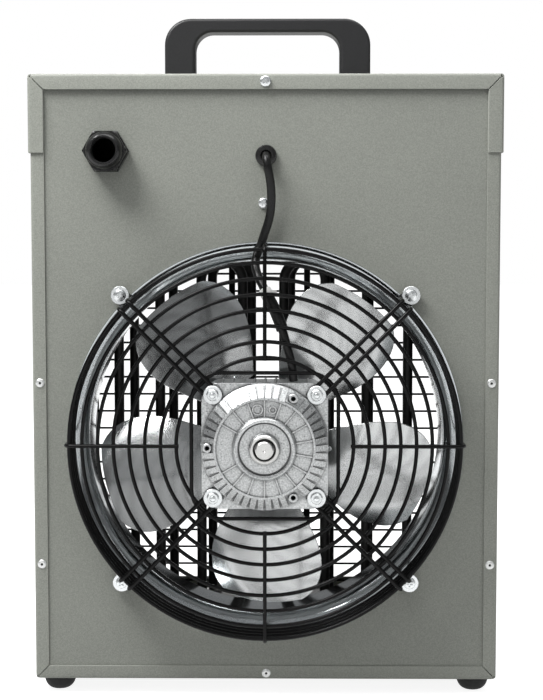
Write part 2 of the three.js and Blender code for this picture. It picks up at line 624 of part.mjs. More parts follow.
function screws() {
  const wireTop = LIP_FACE - 2 * (GAP + SPOKE_WIRE);
  diagonals(GUARD_SCREW).forEach(([x, z], i) => {
    add(`guard_screw_${i + 1}`, panScrew(x, z, wireTop, 12, { washer: WASHER_RADIUS }), 'zinc');
  });
  const armTop = SPOKE_Y - SPOKE_WIRE - GAP;
  diagonals(MOTOR_SCREW).forEach(([x, z], i) => {
    add(`motor_screw_${i + 1}`, panScrew(x, z, armTop, 16, { washer: WASHER_RADIUS }), 'zinc');
  });
  add('cover_screw', panScrew(0, COVER_SCREW_Z, -COVER_FACE - GAP, 8, { head: 4.6, radius: 1.9 }), 'zinc');
  add('shelf_screw', panScrew(SHELF_SCREW_X, SHELF_SCREW_Z, -GAP, 6, { head: 4.7, radius: 1.9 }), 'zinc');
}

// ---- handle and feet ----------------------------------------------------------------------------
function handleLegX() {
  return (HANDLE.width - HANDLE.leg) / 2;
}

function handle() {
  const { width, height, leg, bar, depth, outer, inner } = HANDLE;
  const half = width / 2;
  const low = TOP + GAP;
  const high = low + height;
  const shape = new THREE.Shape();
  shape.moveTo(half, low);
  shape.lineTo(half, high - outer);
  shape.absarc(half - outer, high - outer, outer, 0, Math.PI / 2);
  shape.absarc(outer - half, high - outer, outer, Math.PI / 2, Math.PI);
  shape.lineTo(-half, low);
  shape.lineTo(leg - half, low);
  shape.absarc(leg - half + inner, high - bar - inner, inner, Math.PI, Math.PI / 2, true);
  shape.absarc(half - leg - inner, high - bar - inner, inner, Math.PI / 2, 0, true);
  shape.lineTo(half - leg, low);
  const middle = CASE_DEPTH / 2;
  let grip = plate(shape, middle - depth / 2, middle + depth / 2, 6);
  for (const side of [-1, 1]) {
    const x = side * handleLegX();
    grip = grip.subtract(rodZ(HANDLE_SCREW_RADIUS + GAP, low - 1, low + 16, x, middle));
    const name = side < 0 ? 'handle_screw_left' : 'handle_screw_right';
    const under = TOP - SHEET - GAP;
    const head = rodZ(5, under - 3.4, under, x, middle);
    add(name, join(head, rodZ(HANDLE_SCREW_RADIUS, under - 1, low + 14, x, middle)), 'zinc');
  }
  add('carry_handle', grip, 'nylon');
}

function feet() {
  const top = BASE - GAP;
  const places = [['rear_left', -1, FOOT_Y], ['rear_right', 1, FOOT_Y],
    ['front_left', -1, CASE_DEPTH - FOOT_Y], ['front_right', 1, CASE_DEPTH - FOOT_Y]];
  const steps = 3;
  const flat = 5.5;
  const lowest = Math.acos(flat / FOOT_RADIUS);
  const dome = Array.from({ length: steps + 1 }, (_, i) => {
    const angle = lowest * (1 - i / steps);
    const rise = Math.sin(angle) / Math.sin(lowest);
    return new THREE.Vector2(FOOT_RADIUS * Math.cos(angle), top - (top * rise));
  });
  const profile = [new THREE.Vector2(0, 0), ...dome, new THREE.Vector2(0, top)];
  for (const [name, side, y] of places) {
    const foot = new THREE.LatheGeometry(profile, 14).rotateX(Math.PI / 2);
    add(`foot_${name}`, solid(foot.translate(side * FOOT_X, y, 0)), 'rubber');
  }
}

// ---- cable gland, bush and fan cable ------------------------------------------------------------
function gland() {
  const { x, flats, bore, hole } = GLAND;
  const z = GLAND_Z;
  const stub = (y0, y1) => turned([[bore, y0], [hole - GAP, y0], [hole - GAP, y1], [bore, y1]], x, z, 16);
  const base = hexagon(flats, -9, -GAP, x, z).subtract(rodY(bore, -10, 0, x, z, 16));
  add('gland_body', join(base, stub(-19, 13)), 'nylon');
  let nut = hexagon(flats - 1.5, -20, -9 - GAP, x, z).intersect(rodY(18.6, -20, -9, x, z, 24));
  const dome = [[0, -29], [12.4, -29], [14.6, -27], [15.8, -23.5], [16.2, -19.5], [0, -19.5]];
  nut = nut.add(turned(dome, x, z, 20));
  nut = nut.subtract(rodY(hole, -22.5, -8, x, z, 16)).subtract(rodY(bore, -30, -20, x, z, 16));
  add('gland_dome_nut', nut, 'nylon');
  add('gland_seal', turned([[bore + 0.1, -22.2], [hole - GAP - 0.1, -22.2], [hole - GAP - 0.1, -19.3],
    [bore + 0.1, -19.3]], x, z, 16), 'rubber');
  const lock = hexagon(32, SHEET + GAP, SHEET + GAP + 6, x, z).subtract(rodY(hole, 0, 10, x, z, 16));
  add('gland_locknut', lock, 'nylon');
}

function fanCable() {
  const { x, radius, hole } = BUSH;
  const collar = radius - 1.5 - GAP;
  const bush = [
    [hole, -5.5], [radius - 1.2, -5.5], [radius, -4.4], [radius, -GAP], [collar, -GAP], [collar, SHEET + 4],
    [hole, SHEET + 4],
  ];
  add('cable_bush', turned(bush, x, BUSH_Z, 12), 'nylon');
  add('fan_cable', wire(CABLE_ROUTE, CABLE_RADIUS, 8), 'nylon');
}

// ---- controls -----------------------------------------------------------------------------------
function knob(name, x) {
  const face = CASE_DEPTH + 1;
  const plateau = [[0, face], [KNOB_RADIUS, face], [KNOB_RADIUS, face + 4], [0, face + 4]];
  const skirt = turned(plateau, x, KNOB_Z, 28);
  const body = turned([[0, face + 3], [KNOB_RADIUS - 4, face + 3], [KNOB_RADIUS - 5.5, face + KNOB_DEPTH],
    [0, face + KNOB_DEPTH]], x, KNOB_Z, 20);
  const reach = [KNOB_Z, KNOB_Z + KNOB_RADIUS - 3.4];
  const pointer = block([x - 2, x + 2], [face + 3.5, face + KNOB_DEPTH + 1.2], reach);
  const spindle = rodY(SPINDLE_RADIUS, CASE_DEPTH - 14, face + 1, x, KNOB_Z, 12);
  add(name, join(skirt, body, pointer, spindle), 'nylon');
}

function controls() {
  const back = CASE_DEPTH - SHEET - GAP;
  const bodies = [['mode_switch', MODE_X, 20, 42], ['thermostat', THERMOSTAT_X, 17, 30]];
  for (const [name, x, half, depth] of bodies) {
    const box = block([x - half, x + half], [back - depth, back], [KNOB_Z - half, KNOB_Z + half]);
    add(name, box.subtract(rodY(SPINDLE_RADIUS + 0.5, CASE_DEPTH - 17, back + 1, x, KNOB_Z, 12)), 'nylon');
  }
  knob('mode_knob', MODE_X);
  knob('thermostat_knob', THERMOSTAT_X);
  const low = SHELF_Z + SHEET + GAP;
  const { x: left, y: near, depth, height, ways, pitch } = TERMINALS;
  let terminals = block([left, left + ways * pitch], [near, near + depth], [low, low + height]);
  for (let i = 1; i < ways; i++) {
    const slot = left + i * pitch;
    const gap = block([slot - 1, slot + 1], [near - 1, near + depth + 1], [low + 8, low + height + 1]);
    terminals = terminals.subtract(gap);
  }
  add('terminal_block', terminals, 'nylon');
}

casingWrap();
topCover();
rearPanel();
frontPanel();
partitionShelf();
baffles();
outletGrille();
heaterPlate();
heaterElements();
inletRing();
fanWheel();
motor();
fanGuard();
screws();
handle();
feet();
gland();
fanCable();
controls();

// The origin is at the middle of the bottom of the whole: shaft end to knob face along Y.
const whole = new THREE.Box3().setFromObject(group);
group.position.y = -(whole.min.y + whole.max.y) / 2;

export default group;
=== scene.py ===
# Portable box fan heater seen from its intake side: a powder-coated sheet-metal case round a wire-guarded
# axial fan, two rows of heating elements, an outlet grille, two control knobs and a carrying handle.
import math

import bmesh
import bpy
from mathutils import Matrix, Vector


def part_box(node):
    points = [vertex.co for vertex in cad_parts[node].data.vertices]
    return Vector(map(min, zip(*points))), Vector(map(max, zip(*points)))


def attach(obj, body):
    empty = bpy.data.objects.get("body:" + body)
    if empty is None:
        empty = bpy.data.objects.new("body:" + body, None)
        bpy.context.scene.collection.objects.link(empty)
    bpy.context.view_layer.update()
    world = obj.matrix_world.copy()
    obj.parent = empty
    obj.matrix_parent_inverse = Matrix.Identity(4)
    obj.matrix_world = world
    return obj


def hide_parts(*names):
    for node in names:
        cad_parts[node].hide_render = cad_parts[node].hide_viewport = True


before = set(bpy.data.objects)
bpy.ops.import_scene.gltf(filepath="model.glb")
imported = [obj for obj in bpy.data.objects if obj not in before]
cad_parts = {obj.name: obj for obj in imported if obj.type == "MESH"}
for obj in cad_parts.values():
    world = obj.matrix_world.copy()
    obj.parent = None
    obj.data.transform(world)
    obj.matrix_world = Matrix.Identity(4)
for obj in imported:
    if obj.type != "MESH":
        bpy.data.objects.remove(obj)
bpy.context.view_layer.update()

# ---- Camera -------------------------------------------------------------------------------------
# It stands behind the heater a little above its middle, on the intake side, and looks slightly down.
# The long lens keeps the case's sides nearly parallel.
camera = bpy.data.objects.new("camera", bpy.data.cameras.new("camera"))
camera.data.lens = 78.84
camera.data.sensor_width = 36
camera.location = (0.0195, -1.4631, 0.404)
camera.rotation_euler = (math.radians(90 - 4.125), 0, math.radians(0.61))
bpy.context.scene.collection.objects.link(camera)
bpy.context.scene.camera = camera

# ---- Studio -------------------------------------------------------------------------------------
# A wide white floor under a white sky. The pieces themselves see a darker room with a soft box high on the
# left, a strip above the case, weak sheets in front and on the right, and a strong one behind, so black
# parts stay black and the case's far side is lit.
bpy.context.scene.view_settings.view_transform = "Standard"


def node(tree, kind, inputs=None, **settings):
    made = tree.nodes.new("ShaderNode" + kind)
    for key, value in settings.items():
        setattr(made, key, value)
    for socket, value in (inputs or {}).items():
        if isinstance(value, bpy.types.NodeSocket):
            tree.links.new(value, made.inputs[socket])
        else:
            made.inputs[socket].default_value = value
    return made


def maths(tree, operation, *values):
    return node(tree, "Math", dict(enumerate(values)), operation=operation).outputs[0]


def new_material(name):
    material = bpy.data.materials.new(name)
    material.use_nodes = True
    tree = material.node_tree
    return material, tree, tree.nodes["Principled BSDF"]


world = bpy.data.worlds.new("white_sky")
world.use_nodes = True
bpy.context.scene.world = world
sky = world.node_tree
seen = node(sky, "Background", {"Color": (1, 1, 1, 1), "Strength": 1.0})
height = node(sky, "SeparateXYZ", {0: node(sky, "TexCoord").outputs["Generated"]}).outputs["Z"]
glow = node(sky, "MapRange", {0: height, 1: 0.05, 2: 0.9, 3: 0.13, 4: 0.7}).outputs[0]
shining = node(sky, "Background", {"Color": (0.97, 0.985, 1, 1), "Strength": glow})
straight = node(sky, "LightPath").outputs["Is Camera Ray"]
mixed = node(sky, "MixShader", {0: straight, 1: shining.outputs[0], 2: seen.outputs[0]})
sky.links.new(mixed.outputs[0], sky.nodes["World Output"].inputs["Surface"])

FLOOR_HALF = 12.0
floor_mesh = bpy.data.meshes.new("floor")
floor_corners = [(x * FLOOR_HALF, y * FLOOR_HALF, 0) for x, y in ((-1, -1), (1, -1), (1, 1), (-1, 1))]
floor_mesh.from_pydata(floor_corners, [], [(0, 1, 2, 3)])
studio_floor = bpy.data.objects.new("studio_floor", floor_mesh)
bpy.context.scene.collection.objects.link(studio_floor)
floor_paint, floor_tree, floor_shader = new_material("floor_paint")
floor_noise = node(floor_tree, "TexNoise", {"Scale": 3.0, "Detail": 2.0})
floor_tone = node(floor_tree, "MapRange", {0: floor_noise.outputs[0], 3: 0.4, 4: 0.44})
floor_tree.links.new(floor_tone.outputs[0], floor_shader.inputs["Base Color"])
floor_shader.inputs["Roughness"].default_value = 0.9
# The floor glows for the camera and in bright metal, so it looks white and throws little light at the case.
floor_shader.inputs["Emission Color"].default_value = (0.88, 0.88, 0.88, 1)
ray = node(floor_tree, "LightPath").outputs
looked_at = maths(floor_tree, "MAXIMUM", ray["Is Camera Ray"], ray["Is Glossy Ray"])
floor_tree.links.new(looked_at, floor_shader.inputs["Emission Strength"])
floor_mesh.materials.append(floor_paint)

AIM = Vector((0, 0, 0.33))
for label, place, width, height, watts in [
    ("key", (-0.72, -0.6, 1.5), 0.8, 0.5, 25),
    ("front", (-0.25, -2.3, 0.75), 1.5, 1.3, 2.2),
    ("top", (0.1, -0.35, 1.75), 1.3, 0.5, 8),
    ("fill", (1.5, -1.4, 0.7), 0.5, 0.9, 1.5),
    ("back", (0.2, 1.7, 1.5), 1.6, 1.0, 24),
]:
    lamp = bpy.data.lights.new(label, "AREA")
    lamp.shape = "RECTANGLE"
    lamp.size = width
    lamp.size_y = height
    lamp.energy = watts
    holder = bpy.data.objects.new(label, lamp)
    holder.location = place
    holder.rotation_euler = (AIM - Vector(place)).to_track_quat("-Z", "Y").to_euler()
    bpy.context.scene.collection.objects.link(holder)

# ---- Casing wrap --------------------------------------------------------------------------------
# One strip of 1.5 mm sheet folded to a U: bottom and both sides, with 12 mm rims turned in at the front
# and the back, mitred at the corners, in a fine-textured grey powder coat.
# Lengths below are millimetres. X and Z are the frame's, and depth Y starts at the rear panel's face.
REAR_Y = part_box("rear_panel")[0].y
SHEET = 1.5
MITRE = 0.6
BEND = 2.6


def corners(name):
    low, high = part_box(name)
    shift = Vector((0, REAR_Y, 0))
    return (low - shift) * 1000, (high - shift) * 1000


def join(*meshes):
    points, faces = [], []
    for some_points, some_faces in meshes:
        faces += [[len(points) + i for i in face] for face in some_faces]
        points += some_points
    return points, faces


def shade(obj, sharp_degrees):
    obj.data.polygons.foreach_set("use_smooth", [True] * len(obj.data.polygons))
    obj.data.set_sharp_from_angle(angle=math.radians(sharp_degrees))


def round_edges(obj, width, segments=2, degrees=40):
    bevel = obj.modifiers.new("round_edges", "BEVEL")
    bevel.width = width / 1000
    bevel.segments = segments
    bevel.limit_method = "ANGLE"
    bevel.angle_limit = math.radians(degrees)
    bevel.harden_normals = True


def piece(name, mesh, material, replaces=(), body="case", sharp=35, outward=None):
    points, faces = mesh
    data = bpy.data.meshes.new(name)
    data.from_pydata([(x / 1000, y / 1000 + REAR_Y, z / 1000) for x, y, z in points], [], faces)
    work = bmesh.new()
    work.from_mesh(data)
    bmesh.ops.remove_doubles(work, verts=work.verts, dist=2e-6)
    bmesh.ops.recalc_face_normals(work, faces=work.faces)
    if outward is not None:
        work.faces.ensure_lookup_table()
        widest = max(work.faces, key=lambda face: face.calc_area())
        if widest.normal.dot(outward(widest.calc_center_median())) < 0:
            bmesh.ops.reverse_faces(work, faces=work.faces)
    work.to_mesh(data)
    work.free()
    obj = bpy.data.objects.new(name, data)
    bpy.context.scene.collection.objects.link(obj)
    data.materials.append(material)
    shade(obj, sharp)
    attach(obj, body)
    if replaces:
        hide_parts(*replaces)
    return obj


def new_group(name, takes, gives):
    tree = bpy.data.node_groups.new(name, "ShaderNodeTree")
    for label, kind, value in takes:
        socket = tree.interface.new_socket(label, in_out="INPUT", socket_type="NodeSocket" + kind)
        socket.default_value = value
    for label, kind in gives:
        tree.interface.new_socket(label, in_out="OUTPUT", socket_type="NodeSocket" + kind)
    return tree, tree.nodes.new("NodeGroupInput").outputs, tree.nodes.new("NodeGroupOutput").inputs


def use_group(tree, group, inputs):
    return node(tree, "Group", inputs, node_tree=group).outputs


def mix_colour(tree, share, one, two):
    return node(tree, "Mix", {0: share, 6: one, 7: two}, data_type="RGBA").outputs[2]


# Fine grain: small and slow changes of tone, of roughness and of height, in the piece's own space.
GRAIN, given, result = new_group(
    "fine_grain",
    [("Dark", "Color", (0.1, 0.1, 0.1, 1)), ("Light", "Color", (0.2, 0.2, 0.2, 1)), ("Scale", "Float", 900.0),
     ("Smooth", "Float", 0.4), ("Rough", "Float", 0.6)],
    [("Colour", "Color"), ("Roughness", "Float"), ("Height", "Float")],
)
place = node(GRAIN, "TexCoord").outputs["Object"]
speck = node(GRAIN, "TexNoise", {"Vector": place, "Scale": given["Scale"], "Detail": 3.0}).outputs[0]
cloud = node(GRAIN, "TexNoise", {"Vector": place, "Scale": 9.0, "Detail": 4.0}).outputs[0]
crisp = node(GRAIN, "MapRange", {0: speck, 1: 0.32, 2: 0.68}).outputs[0]
share = node(GRAIN, "Mix", {0: 0.35, 2: crisp, 3: cloud}).outputs[0]
GRAIN.links.new(mix_colour(GRAIN, share, given["Dark"], given["Light"]), result["Colour"])
rough = node(GRAIN, "MapRange", {0: share, 3: given["Smooth"], 4: given["Rough"]}).outputs[0]
GRAIN.links.new(rough, result["Roughness"])
GRAIN.links.new(crisp, result["Height"])

# Worn edges with painted highlight: a broken mask along the outer corners, found by how far a rounded normal
# leans away, lightens them, partly as wear and partly as a painted highlight on the bends.
EDGE_WEAR_AND_HIGHLIGHT, given, result = new_group(
    "worn_and_highlit_edges",
    [("Colour", "Color", (0.2, 0.2, 0.2, 1)), ("Worn and highlit", "Color", (0.6, 0.6, 0.6, 1)),
     ("Width", "Float", 0.001), ("Amount", "Float", 0.5)],
    [("Colour", "Color"), ("Mask", "Float")],
)
soft = node(EDGE_WEAR_AND_HIGHLIGHT, "Bevel", {"Radius": given["Width"]}, samples=4).outputs[0]
flat = node(EDGE_WEAR_AND_HIGHLIGHT, "NewGeometry").outputs["Normal"]
lean = node(EDGE_WEAR_AND_HIGHLIGHT, "VectorMath", {0: soft, 1: flat}, operation="DOT_PRODUCT").outputs["Value"]
corner = node(EDGE_WEAR_AND_HIGHLIGHT, "MapRange", {0: lean, 1: 0.995, 2: 0.85}).outputs[0]
place = node(EDGE_WEAR_AND_HIGHLIGHT, "TexCoord").outputs["Object"]
patch = node(EDGE_WEAR_AND_HIGHLIGHT, "TexNoise", {"Vector": place, "Scale": 160.0}).outputs[0]
broken = node(EDGE_WEAR_AND_HIGHLIGHT, "MapRange", {0: patch, 1: 0.35, 2: 0.65, 3: 0.25, 4: 1.0}).outputs[0]
wear_and_highlight_share = maths(EDGE_WEAR_AND_HIGHLIGHT, "MULTIPLY", maths(EDGE_WEAR_AND_HIGHLIGHT, "MULTIPLY", corner, broken), given["Amount"])
EDGE_WEAR_AND_HIGHLIGHT.links.new(mix_colour(EDGE_WEAR_AND_HIGHLIGHT, wear_and_highlight_share, given["Colour"], given["Worn and highlit"]), result["Colour"])
EDGE_WEAR_AND_HIGHLIGHT.links.new(wear_and_highlight_share, result["Mask"])

# Dust: a thin pale film on the faces that look up, thicker in soft patches.
DUST, given, result = new_group(
    "settled_dust",
    [("Colour", "Color", (0.2, 0.2, 0.2, 1)), ("Amount", "Float", 0.2)], [("Colour", "Color")],
)
up = node(DUST, "SeparateXYZ", {0: node(DUST, "NewGeometry").outputs["Normal"]}).outputs["Z"]
lying = node(DUST, "MapRange", {0: up, 1: 0.35, 2: 1.0}).outputs[0]
patch = node(DUST, "TexNoise", {"Vector": node(DUST, "TexCoord").outputs["Object"], "Scale": 45.0}).outputs[0]
film = maths(DUST, "MULTIPLY", maths(DUST, "MULTIPLY", lying, patch), given["Amount"])
DUST.links.new(mix_colour(DUST, film, given["Colour"], (0.42, 0.4, 0.37, 1)), result["Colour"])


def finish(name, dark, light, roughness, metallic=0.0, grain=900.0, bump=0.03, wear_and_highlight=None, dust=0.0,
           gloss=0.5):
    """A solid finish with grain, edges lightened as wear and painted highlight, and dust. bump is the grain's
    height in millimetres.
    """
    material, tree, shader = new_material(name)
    grained = use_group(tree, GRAIN, {
        "Dark": (*dark, 1), "Light": (*light, 1), "Scale": grain,
        "Smooth": roughness[0], "Rough": roughness[1],
    })
    colour = grained["Colour"]
    if wear_and_highlight:
        worn_and_highlit_colour, width, amount = wear_and_highlight
        colour = use_group(tree, EDGE_WEAR_AND_HIGHLIGHT, {
            "Colour": colour, "Worn and highlit": (*worn_and_highlit_colour, 1), "Width": width / 1000, "Amount": amount,
        })["Colour"]
    if dust:
        colour = use_group(tree, DUST, {"Colour": colour, "Amount": dust})["Colour"]
    tree.links.new(colour, shader.inputs["Base Color"])
    tree.links.new(grained["Roughness"], shader.inputs["Roughness"])
    shader.inputs["Metallic"].default_value = metallic
    shader.inputs["Specular IOR Level"].default_value = gloss
    raised = node(tree, "Bump", {"Height": grained["Height"], "Distance": bump / 1000, "Strength": 1.0})
    tree.links.new(raised.outputs[0], shader.inputs["Normal"])
    return material


# The wrap and lid share the panels' grey powder coat, given here as a slightly lighter copy: painted light on
# their rims.
case_coat = finish("case_coat", (0.235, 0.245, 0.218), (0.365, 0.375, 0.335), (0.42, 0.58), 0.0, 1100, 0.02,
                   wear_and_highlight=((0.55, 0.56, 0.52), 0.9, 0.55), dust=0.15, gloss=0.3)
panel_coat = finish("panel_coat", (0.22, 0.23, 0.205), (0.345, 0.355, 0.318), (0.44, 0.6), 0.0, 1100, 0.02,
                    wear_and_highlight=((0.5, 0.51, 0.47), 0.6, 0.3), gloss=0.25)


def folded_shell(half, closed_z, open_z, y0, y1, rim):
    """The outer skin of a folded U of sheet, with a rim turned in at both ends and mitred at its corners."""
    up = 1 if open_z > closed_z else -1
    start = BEND + MITRE
    quarter = [(1 - math.cos(a), 1 - math.sin(a)) for a in (math.pi / 2 * i / 6 for i in range(7))]
    left = [(-half, open_z), (-half, closed_z + up * start)]
    left += [(BEND * across - half, closed_z + up * BEND * along) for across, along in quarter]
    left += [(start - half, closed_z)]
    line = left + [(-x, z) for x, z in reversed(left)]
    points = [(x, y, z) for y in (y0 + BEND, y1 - BEND) for x, z in line]
    count = len(line)
    faces = [(i, i + 1, count + i + 1, count + i) for i in range(count - 1)]
    skin = (points, faces)
    sides = [
        ((-half, open_z), (-half, closed_z), (1, 0), (False, True)),
        ((-half, closed_z), (half, closed_z), (0, up), (True, True)),
        ((half, closed_z), (half, open_z), (-1, 0), (True, False)),
    ]
    for end, into in ((y0, 1), (y1, -1)):
        section = [(BEND * c, end + into * BEND * s) for c, s in quarter] + [(rim, end)]
        for a, b, inward, cut in sides:
            along = (Vector(b) - Vector(a)).normalized()
            rows = []
            for depth, y in section:
                trim = max(BEND, depth) + MITRE
                near = Vector(a) + along * (trim if cut[0] else 0) + Vector(inward) * depth
                far = Vector(b) - along * (trim if cut[1] else 0) + Vector(inward) * depth
                rows.append([(near.x, y, near.y), (far.x, y, far.y)])
            strip = [point for row in rows for point in row]
            quads = [(2 * i, 2 * i + 1, 2 * i + 3, 2 * i + 2) for i in range(len(rows) - 1)]
            skin = join(skin, (strip, quads))
    return skin


def sheet_thickness(obj, thickness):
    solid = obj.modifiers.new("sheet", "SOLIDIFY")
    solid.thickness = thickness / 1000
    solid.offset = -1
    solid.use_even_offset = True
    round_edges(obj, 0.3, segments=1, degrees=60)


def away_from_middle(point):
    return point - Vector((0, 0.03, 0.28))


low, high = corners("casing_wrap")
WRAP_RIM = 12
wrap_skin = folded_shell(high.x, low.z, high.z, low.y, high.y, WRAP_RIM)
wrap = piece("folded_wrap", wrap_skin, case_coat, ["casing_wrap"], outward=away_from_middle)
sheet_thickness(wrap, SHEET)

# ---- Top cover ----------------------------------------------------------------------------------
# The lid is folded from the same sheet. It laps 68 mm over the wrap's sides and shows as a step there.
low, high = corners("top_cover")
COVER_RIM = 13.5
cover_skin = folded_shell(high.x, high.z, low.z, low.y, high.y, COVER_RIM)
cover = piece("folded_cover", cover_skin, case_coat, ["top_cover"], outward=away_from_middle)
sheet_thickness(cover, SHEET)

# ---- Rear and front panels ----------------------------------------------------------------------
# Flat laser-cut sheets behind the rims. The rear one carries the fan, the front one the outlet opening
# and the controls. Their sharp cut edges are only broken by the coat.


def keep(name, material, edge=0.0):
    """Shows the design's own solid, with its material and softened edges."""
    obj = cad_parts[name]
    obj.data.materials.clear()
    obj.data.materials.append(material)
    obj.modifiers.new("weld", "WELD").merge_threshold = 1e-5
    if edge:
        round_edges(obj, edge, segments=2, degrees=30)
    return obj


keep("rear_panel", panel_coat, edge=0.3)
keep("front_panel", panel_coat, edge=0.3)

# ---- Inner sheet metal --------------------------------------------------------------------------
# The shelf under the control bay is galvanised sheet. The bracket that holds the elements and the two
# baffles beside them have gone dark with heat.
galvanised = finish("galvanised", (0.42, 0.44, 0.45), (0.66, 0.68, 0.69), (0.28, 0.5), 0.85, 60, 0.004,
                    wear_and_highlight=((0.8, 0.8, 0.8), 0.4, 0.3), dust=0.2)
# The same near-black also stands for painted shade in the boss holes and the rivet hollows.
heat_dark = finish("heat_dark", (0.016, 0.016, 0.016), (0.04, 0.038, 0.036), (0.4, 0.62), 0.6, 300, 0.01,
                   dust=0.1)
keep("partition_shelf", galvanised, edge=0.25)
keep("heater_plate", heat_dark, edge=0.25)
keep("left_baffle", heat_dark, edge=0.25)
keep("right_baffle", heat_dark, edge=0.25)

# ---- Heating elements ---------------------------------------------------------------------------
# Eight hairpins of black oxidised steel sheath stand in two rows. A hexagon ferrule clamps each leg on
# the bracket, and a terminal pin with a ceramic collar comes out below.


def tube(path, radius, sides=10, closed=False):
    """A round wire along a list of points, with flat ends unless it closes on itself."""
    spots = [Vector(p) for p in path]
    count = len(spots)
    points, faces = [], []
    across = None
    for i, spot in enumerate(spots):
        before = spots[i - 1] if i or closed else spot
        after = spots[(i + 1) % count] if i < count - 1 or closed else spot
        ahead = (after - before).normalized()
        if across is None:
            across = ahead.orthogonal().normalized()
        across = (across - ahead * across.dot(ahead)).normalized()
        other = ahead.cross(across)
        for k in range(sides):
            angle = 2 * math.pi * k / sides
            points.append(tuple(spot + (across * math.cos(angle) + other * math.sin(angle)) * radius))
    for i in range(count if closed else count - 1):
        j = (i + 1) % count
        for k in range(sides):
            m = (k + 1) % sides
            faces.append((i * sides + k, i * sides + m, j * sides + m, j * sides + k))
    if not closed:
        faces += [tuple(range(sides)), tuple(range((count - 1) * sides, count * sides))]
    return points, faces


def prism(outline, y0, y1):
    """A flat outline in X and Z between two depths."""
    count = len(outline)
    points = [(x, y, z) for y in (y0, y1) for x, z in outline]
    faces = [tuple(range(count)), tuple(range(count, 2 * count))]
    faces += [(i, (i + 1) % count, count + (i + 1) % count, count + i) for i in range(count)]
    return points, faces


def moved(mesh, matrix):
    points, faces = mesh
    return [tuple(matrix @ Vector(p)) for p in points], faces


def standing(outline, x, y, z0, z1):
    """A flat outline stood upright: it is drawn round (x, y) and rises from z0 to z1."""
    points = [(x + across, y + along, z) for z in (z0, z1) for across, along in outline]
    return points, prism(outline, z0, z1)[1]


def circle(radius, sides):
    return [(radius * math.cos(2 * math.pi * i / sides), radius * math.sin(2 * math.pi * i / sides))
            for i in range(sides)]


element_sheath = finish("element_sheath", (0.006, 0.006, 0.006), (0.02, 0.019, 0.018), (0.38, 0.6), 0.3, 500,
                        0.02)
ceramic = finish("ceramic", (0.72, 0.7, 0.66), (0.8, 0.78, 0.74), (0.35, 0.5), 0.0, 700, 0.01)
ferrule_steel = finish("ferrule_steel", (0.3, 0.3, 0.3), (0.45, 0.44, 0.43), (0.3, 0.45), 0.9, 400, 0.01)
ARCH_STEPS = 24
FERRULE_FLATS, FERRULE_RISE = 15, 5.5
COLLAR_RADIUS, COLLAR_DROP = 4.1, 5
PIN_RADIUS, PIN_DROP = 1.6, 11
plate_top = corners("heater_plate")[1].z
ferrules, collars, pins = [], [], []
for number in range(1, 9):
    low, high = corners(f"heater_element_{number}")
    radius = (high.y - low.y) / 2
    y = (low.y + high.y) / 2
    bend = (high.x - low.x) / 2 - radius
    crown = high.z - radius - bend
    middle = (low.x + high.x) / 2
    arch = [(middle - bend * math.cos(a), y, crown + bend * math.sin(a))
            for a in (math.pi * i / ARCH_STEPS for i in range(ARCH_STEPS + 1))]
    path = [(middle - bend, y, low.z), *arch, (middle + bend, y, low.z)]
    piece(f"hairpin_{number}", tube(path, radius, 20), element_sheath,
          [f"heater_element_{number}"])
    for leg in (middle - bend, middle + bend):
        ferrule = circle(FERRULE_FLATS / math.sqrt(3), 6)
        ferrules.append(standing(ferrule, leg, y, plate_top, plate_top + FERRULE_RISE))
        collars.append(standing(circle(COLLAR_RADIUS, 20), leg, y, low.z - COLLAR_DROP, low.z))
        pins.append(standing(circle(PIN_RADIUS, 12), leg, y, low.z - PIN_DROP, low.z - COLLAR_DROP))
ferrule_set = piece("element_ferrules", join(*ferrules), ferrule_steel)
round_edges(ferrule_set, 0.5)
collar_set = piece("terminal_collars", join(*collars), ceramic)
round_edges(collar_set, 0.5)
piece("terminal_pins", join(*pins), ferrule_steel)

# ---- Outlet grille ------------------------------------------------------------------------------
# Horizontal black wires are welded to two upright flat bars behind the front opening.


def rectangle(x0, z0, x1, z1):
    return [(x0, z0), (x1, z0), (x1, z1), (x0, z1)]


black_wire = finish("black_wire", (0.0015, 0.0015, 0.0015), (0.004, 0.004, 0.004), (0.16, 0.28), 0.0, 700,
                    0.004, gloss=0.14)
low, high = corners("outlet_grille")
WIRE_RADIUS = 1.15
WIRE_PITCH = 18.4
BAR_HALF = 3.3
grille = []
wire_y = high.y - WIRE_RADIUS
wire_z = low.z + 2 * WIRE_RADIUS
while wire_z < high.z:
    grille.append(tube([(low.x, wire_y, wire_z), (high.x, wire_y, wire_z)], WIRE_RADIUS, 10))
    wire_z += WIRE_PITCH
for x in (-40, 40):
    bar = rectangle(x - BAR_HALF, low.z, x + BAR_HALF, high.z)
    grille.append(prism(bar, low.y, high.y - 2 * WIRE_RADIUS + 0.4))
piece("grille_wires", join(*grille), black_wire, ["outlet_grille"])

# ---- Inlet ring ---------------------------------------------------------------------------------
# The bell mouth is spun from thin bright sheet. Its lip lies on the rear panel, and its throat runs close
# round the blade tips.
AXIS_Z = (corners("inlet_ring")[0].z + corners("inlet_ring")[1].z) / 2


def turned(profile, sides, x=0.0, z=0.0):
    """A profile of (radius, depth) points turned about a line along Y, closed unless it ends on the axis."""
    points, rings = [], []
    for radius, y in profile:
        if radius < 1e-6:
            rings.append([len(points)] * sides)
            points.append((x, y, z))
            continue
        rings.append(list(range(len(points), len(points) + sides)))
        points += [(x + radius * across, y, z + radius * up) for across, up in circle(1, sides)]
    faces = []
    following = rings[1:] + ([rings[0]] if profile[0][0] > 1e-6 else [])
    for ring, after in zip(rings, following):
        for i in range(sides):
            j = (i + 1) % sides
            face = list(dict.fromkeys([ring[i], ring[j], after[j], after[i]]))
            if len(face) > 2:
                faces.append(face)
    return points, faces


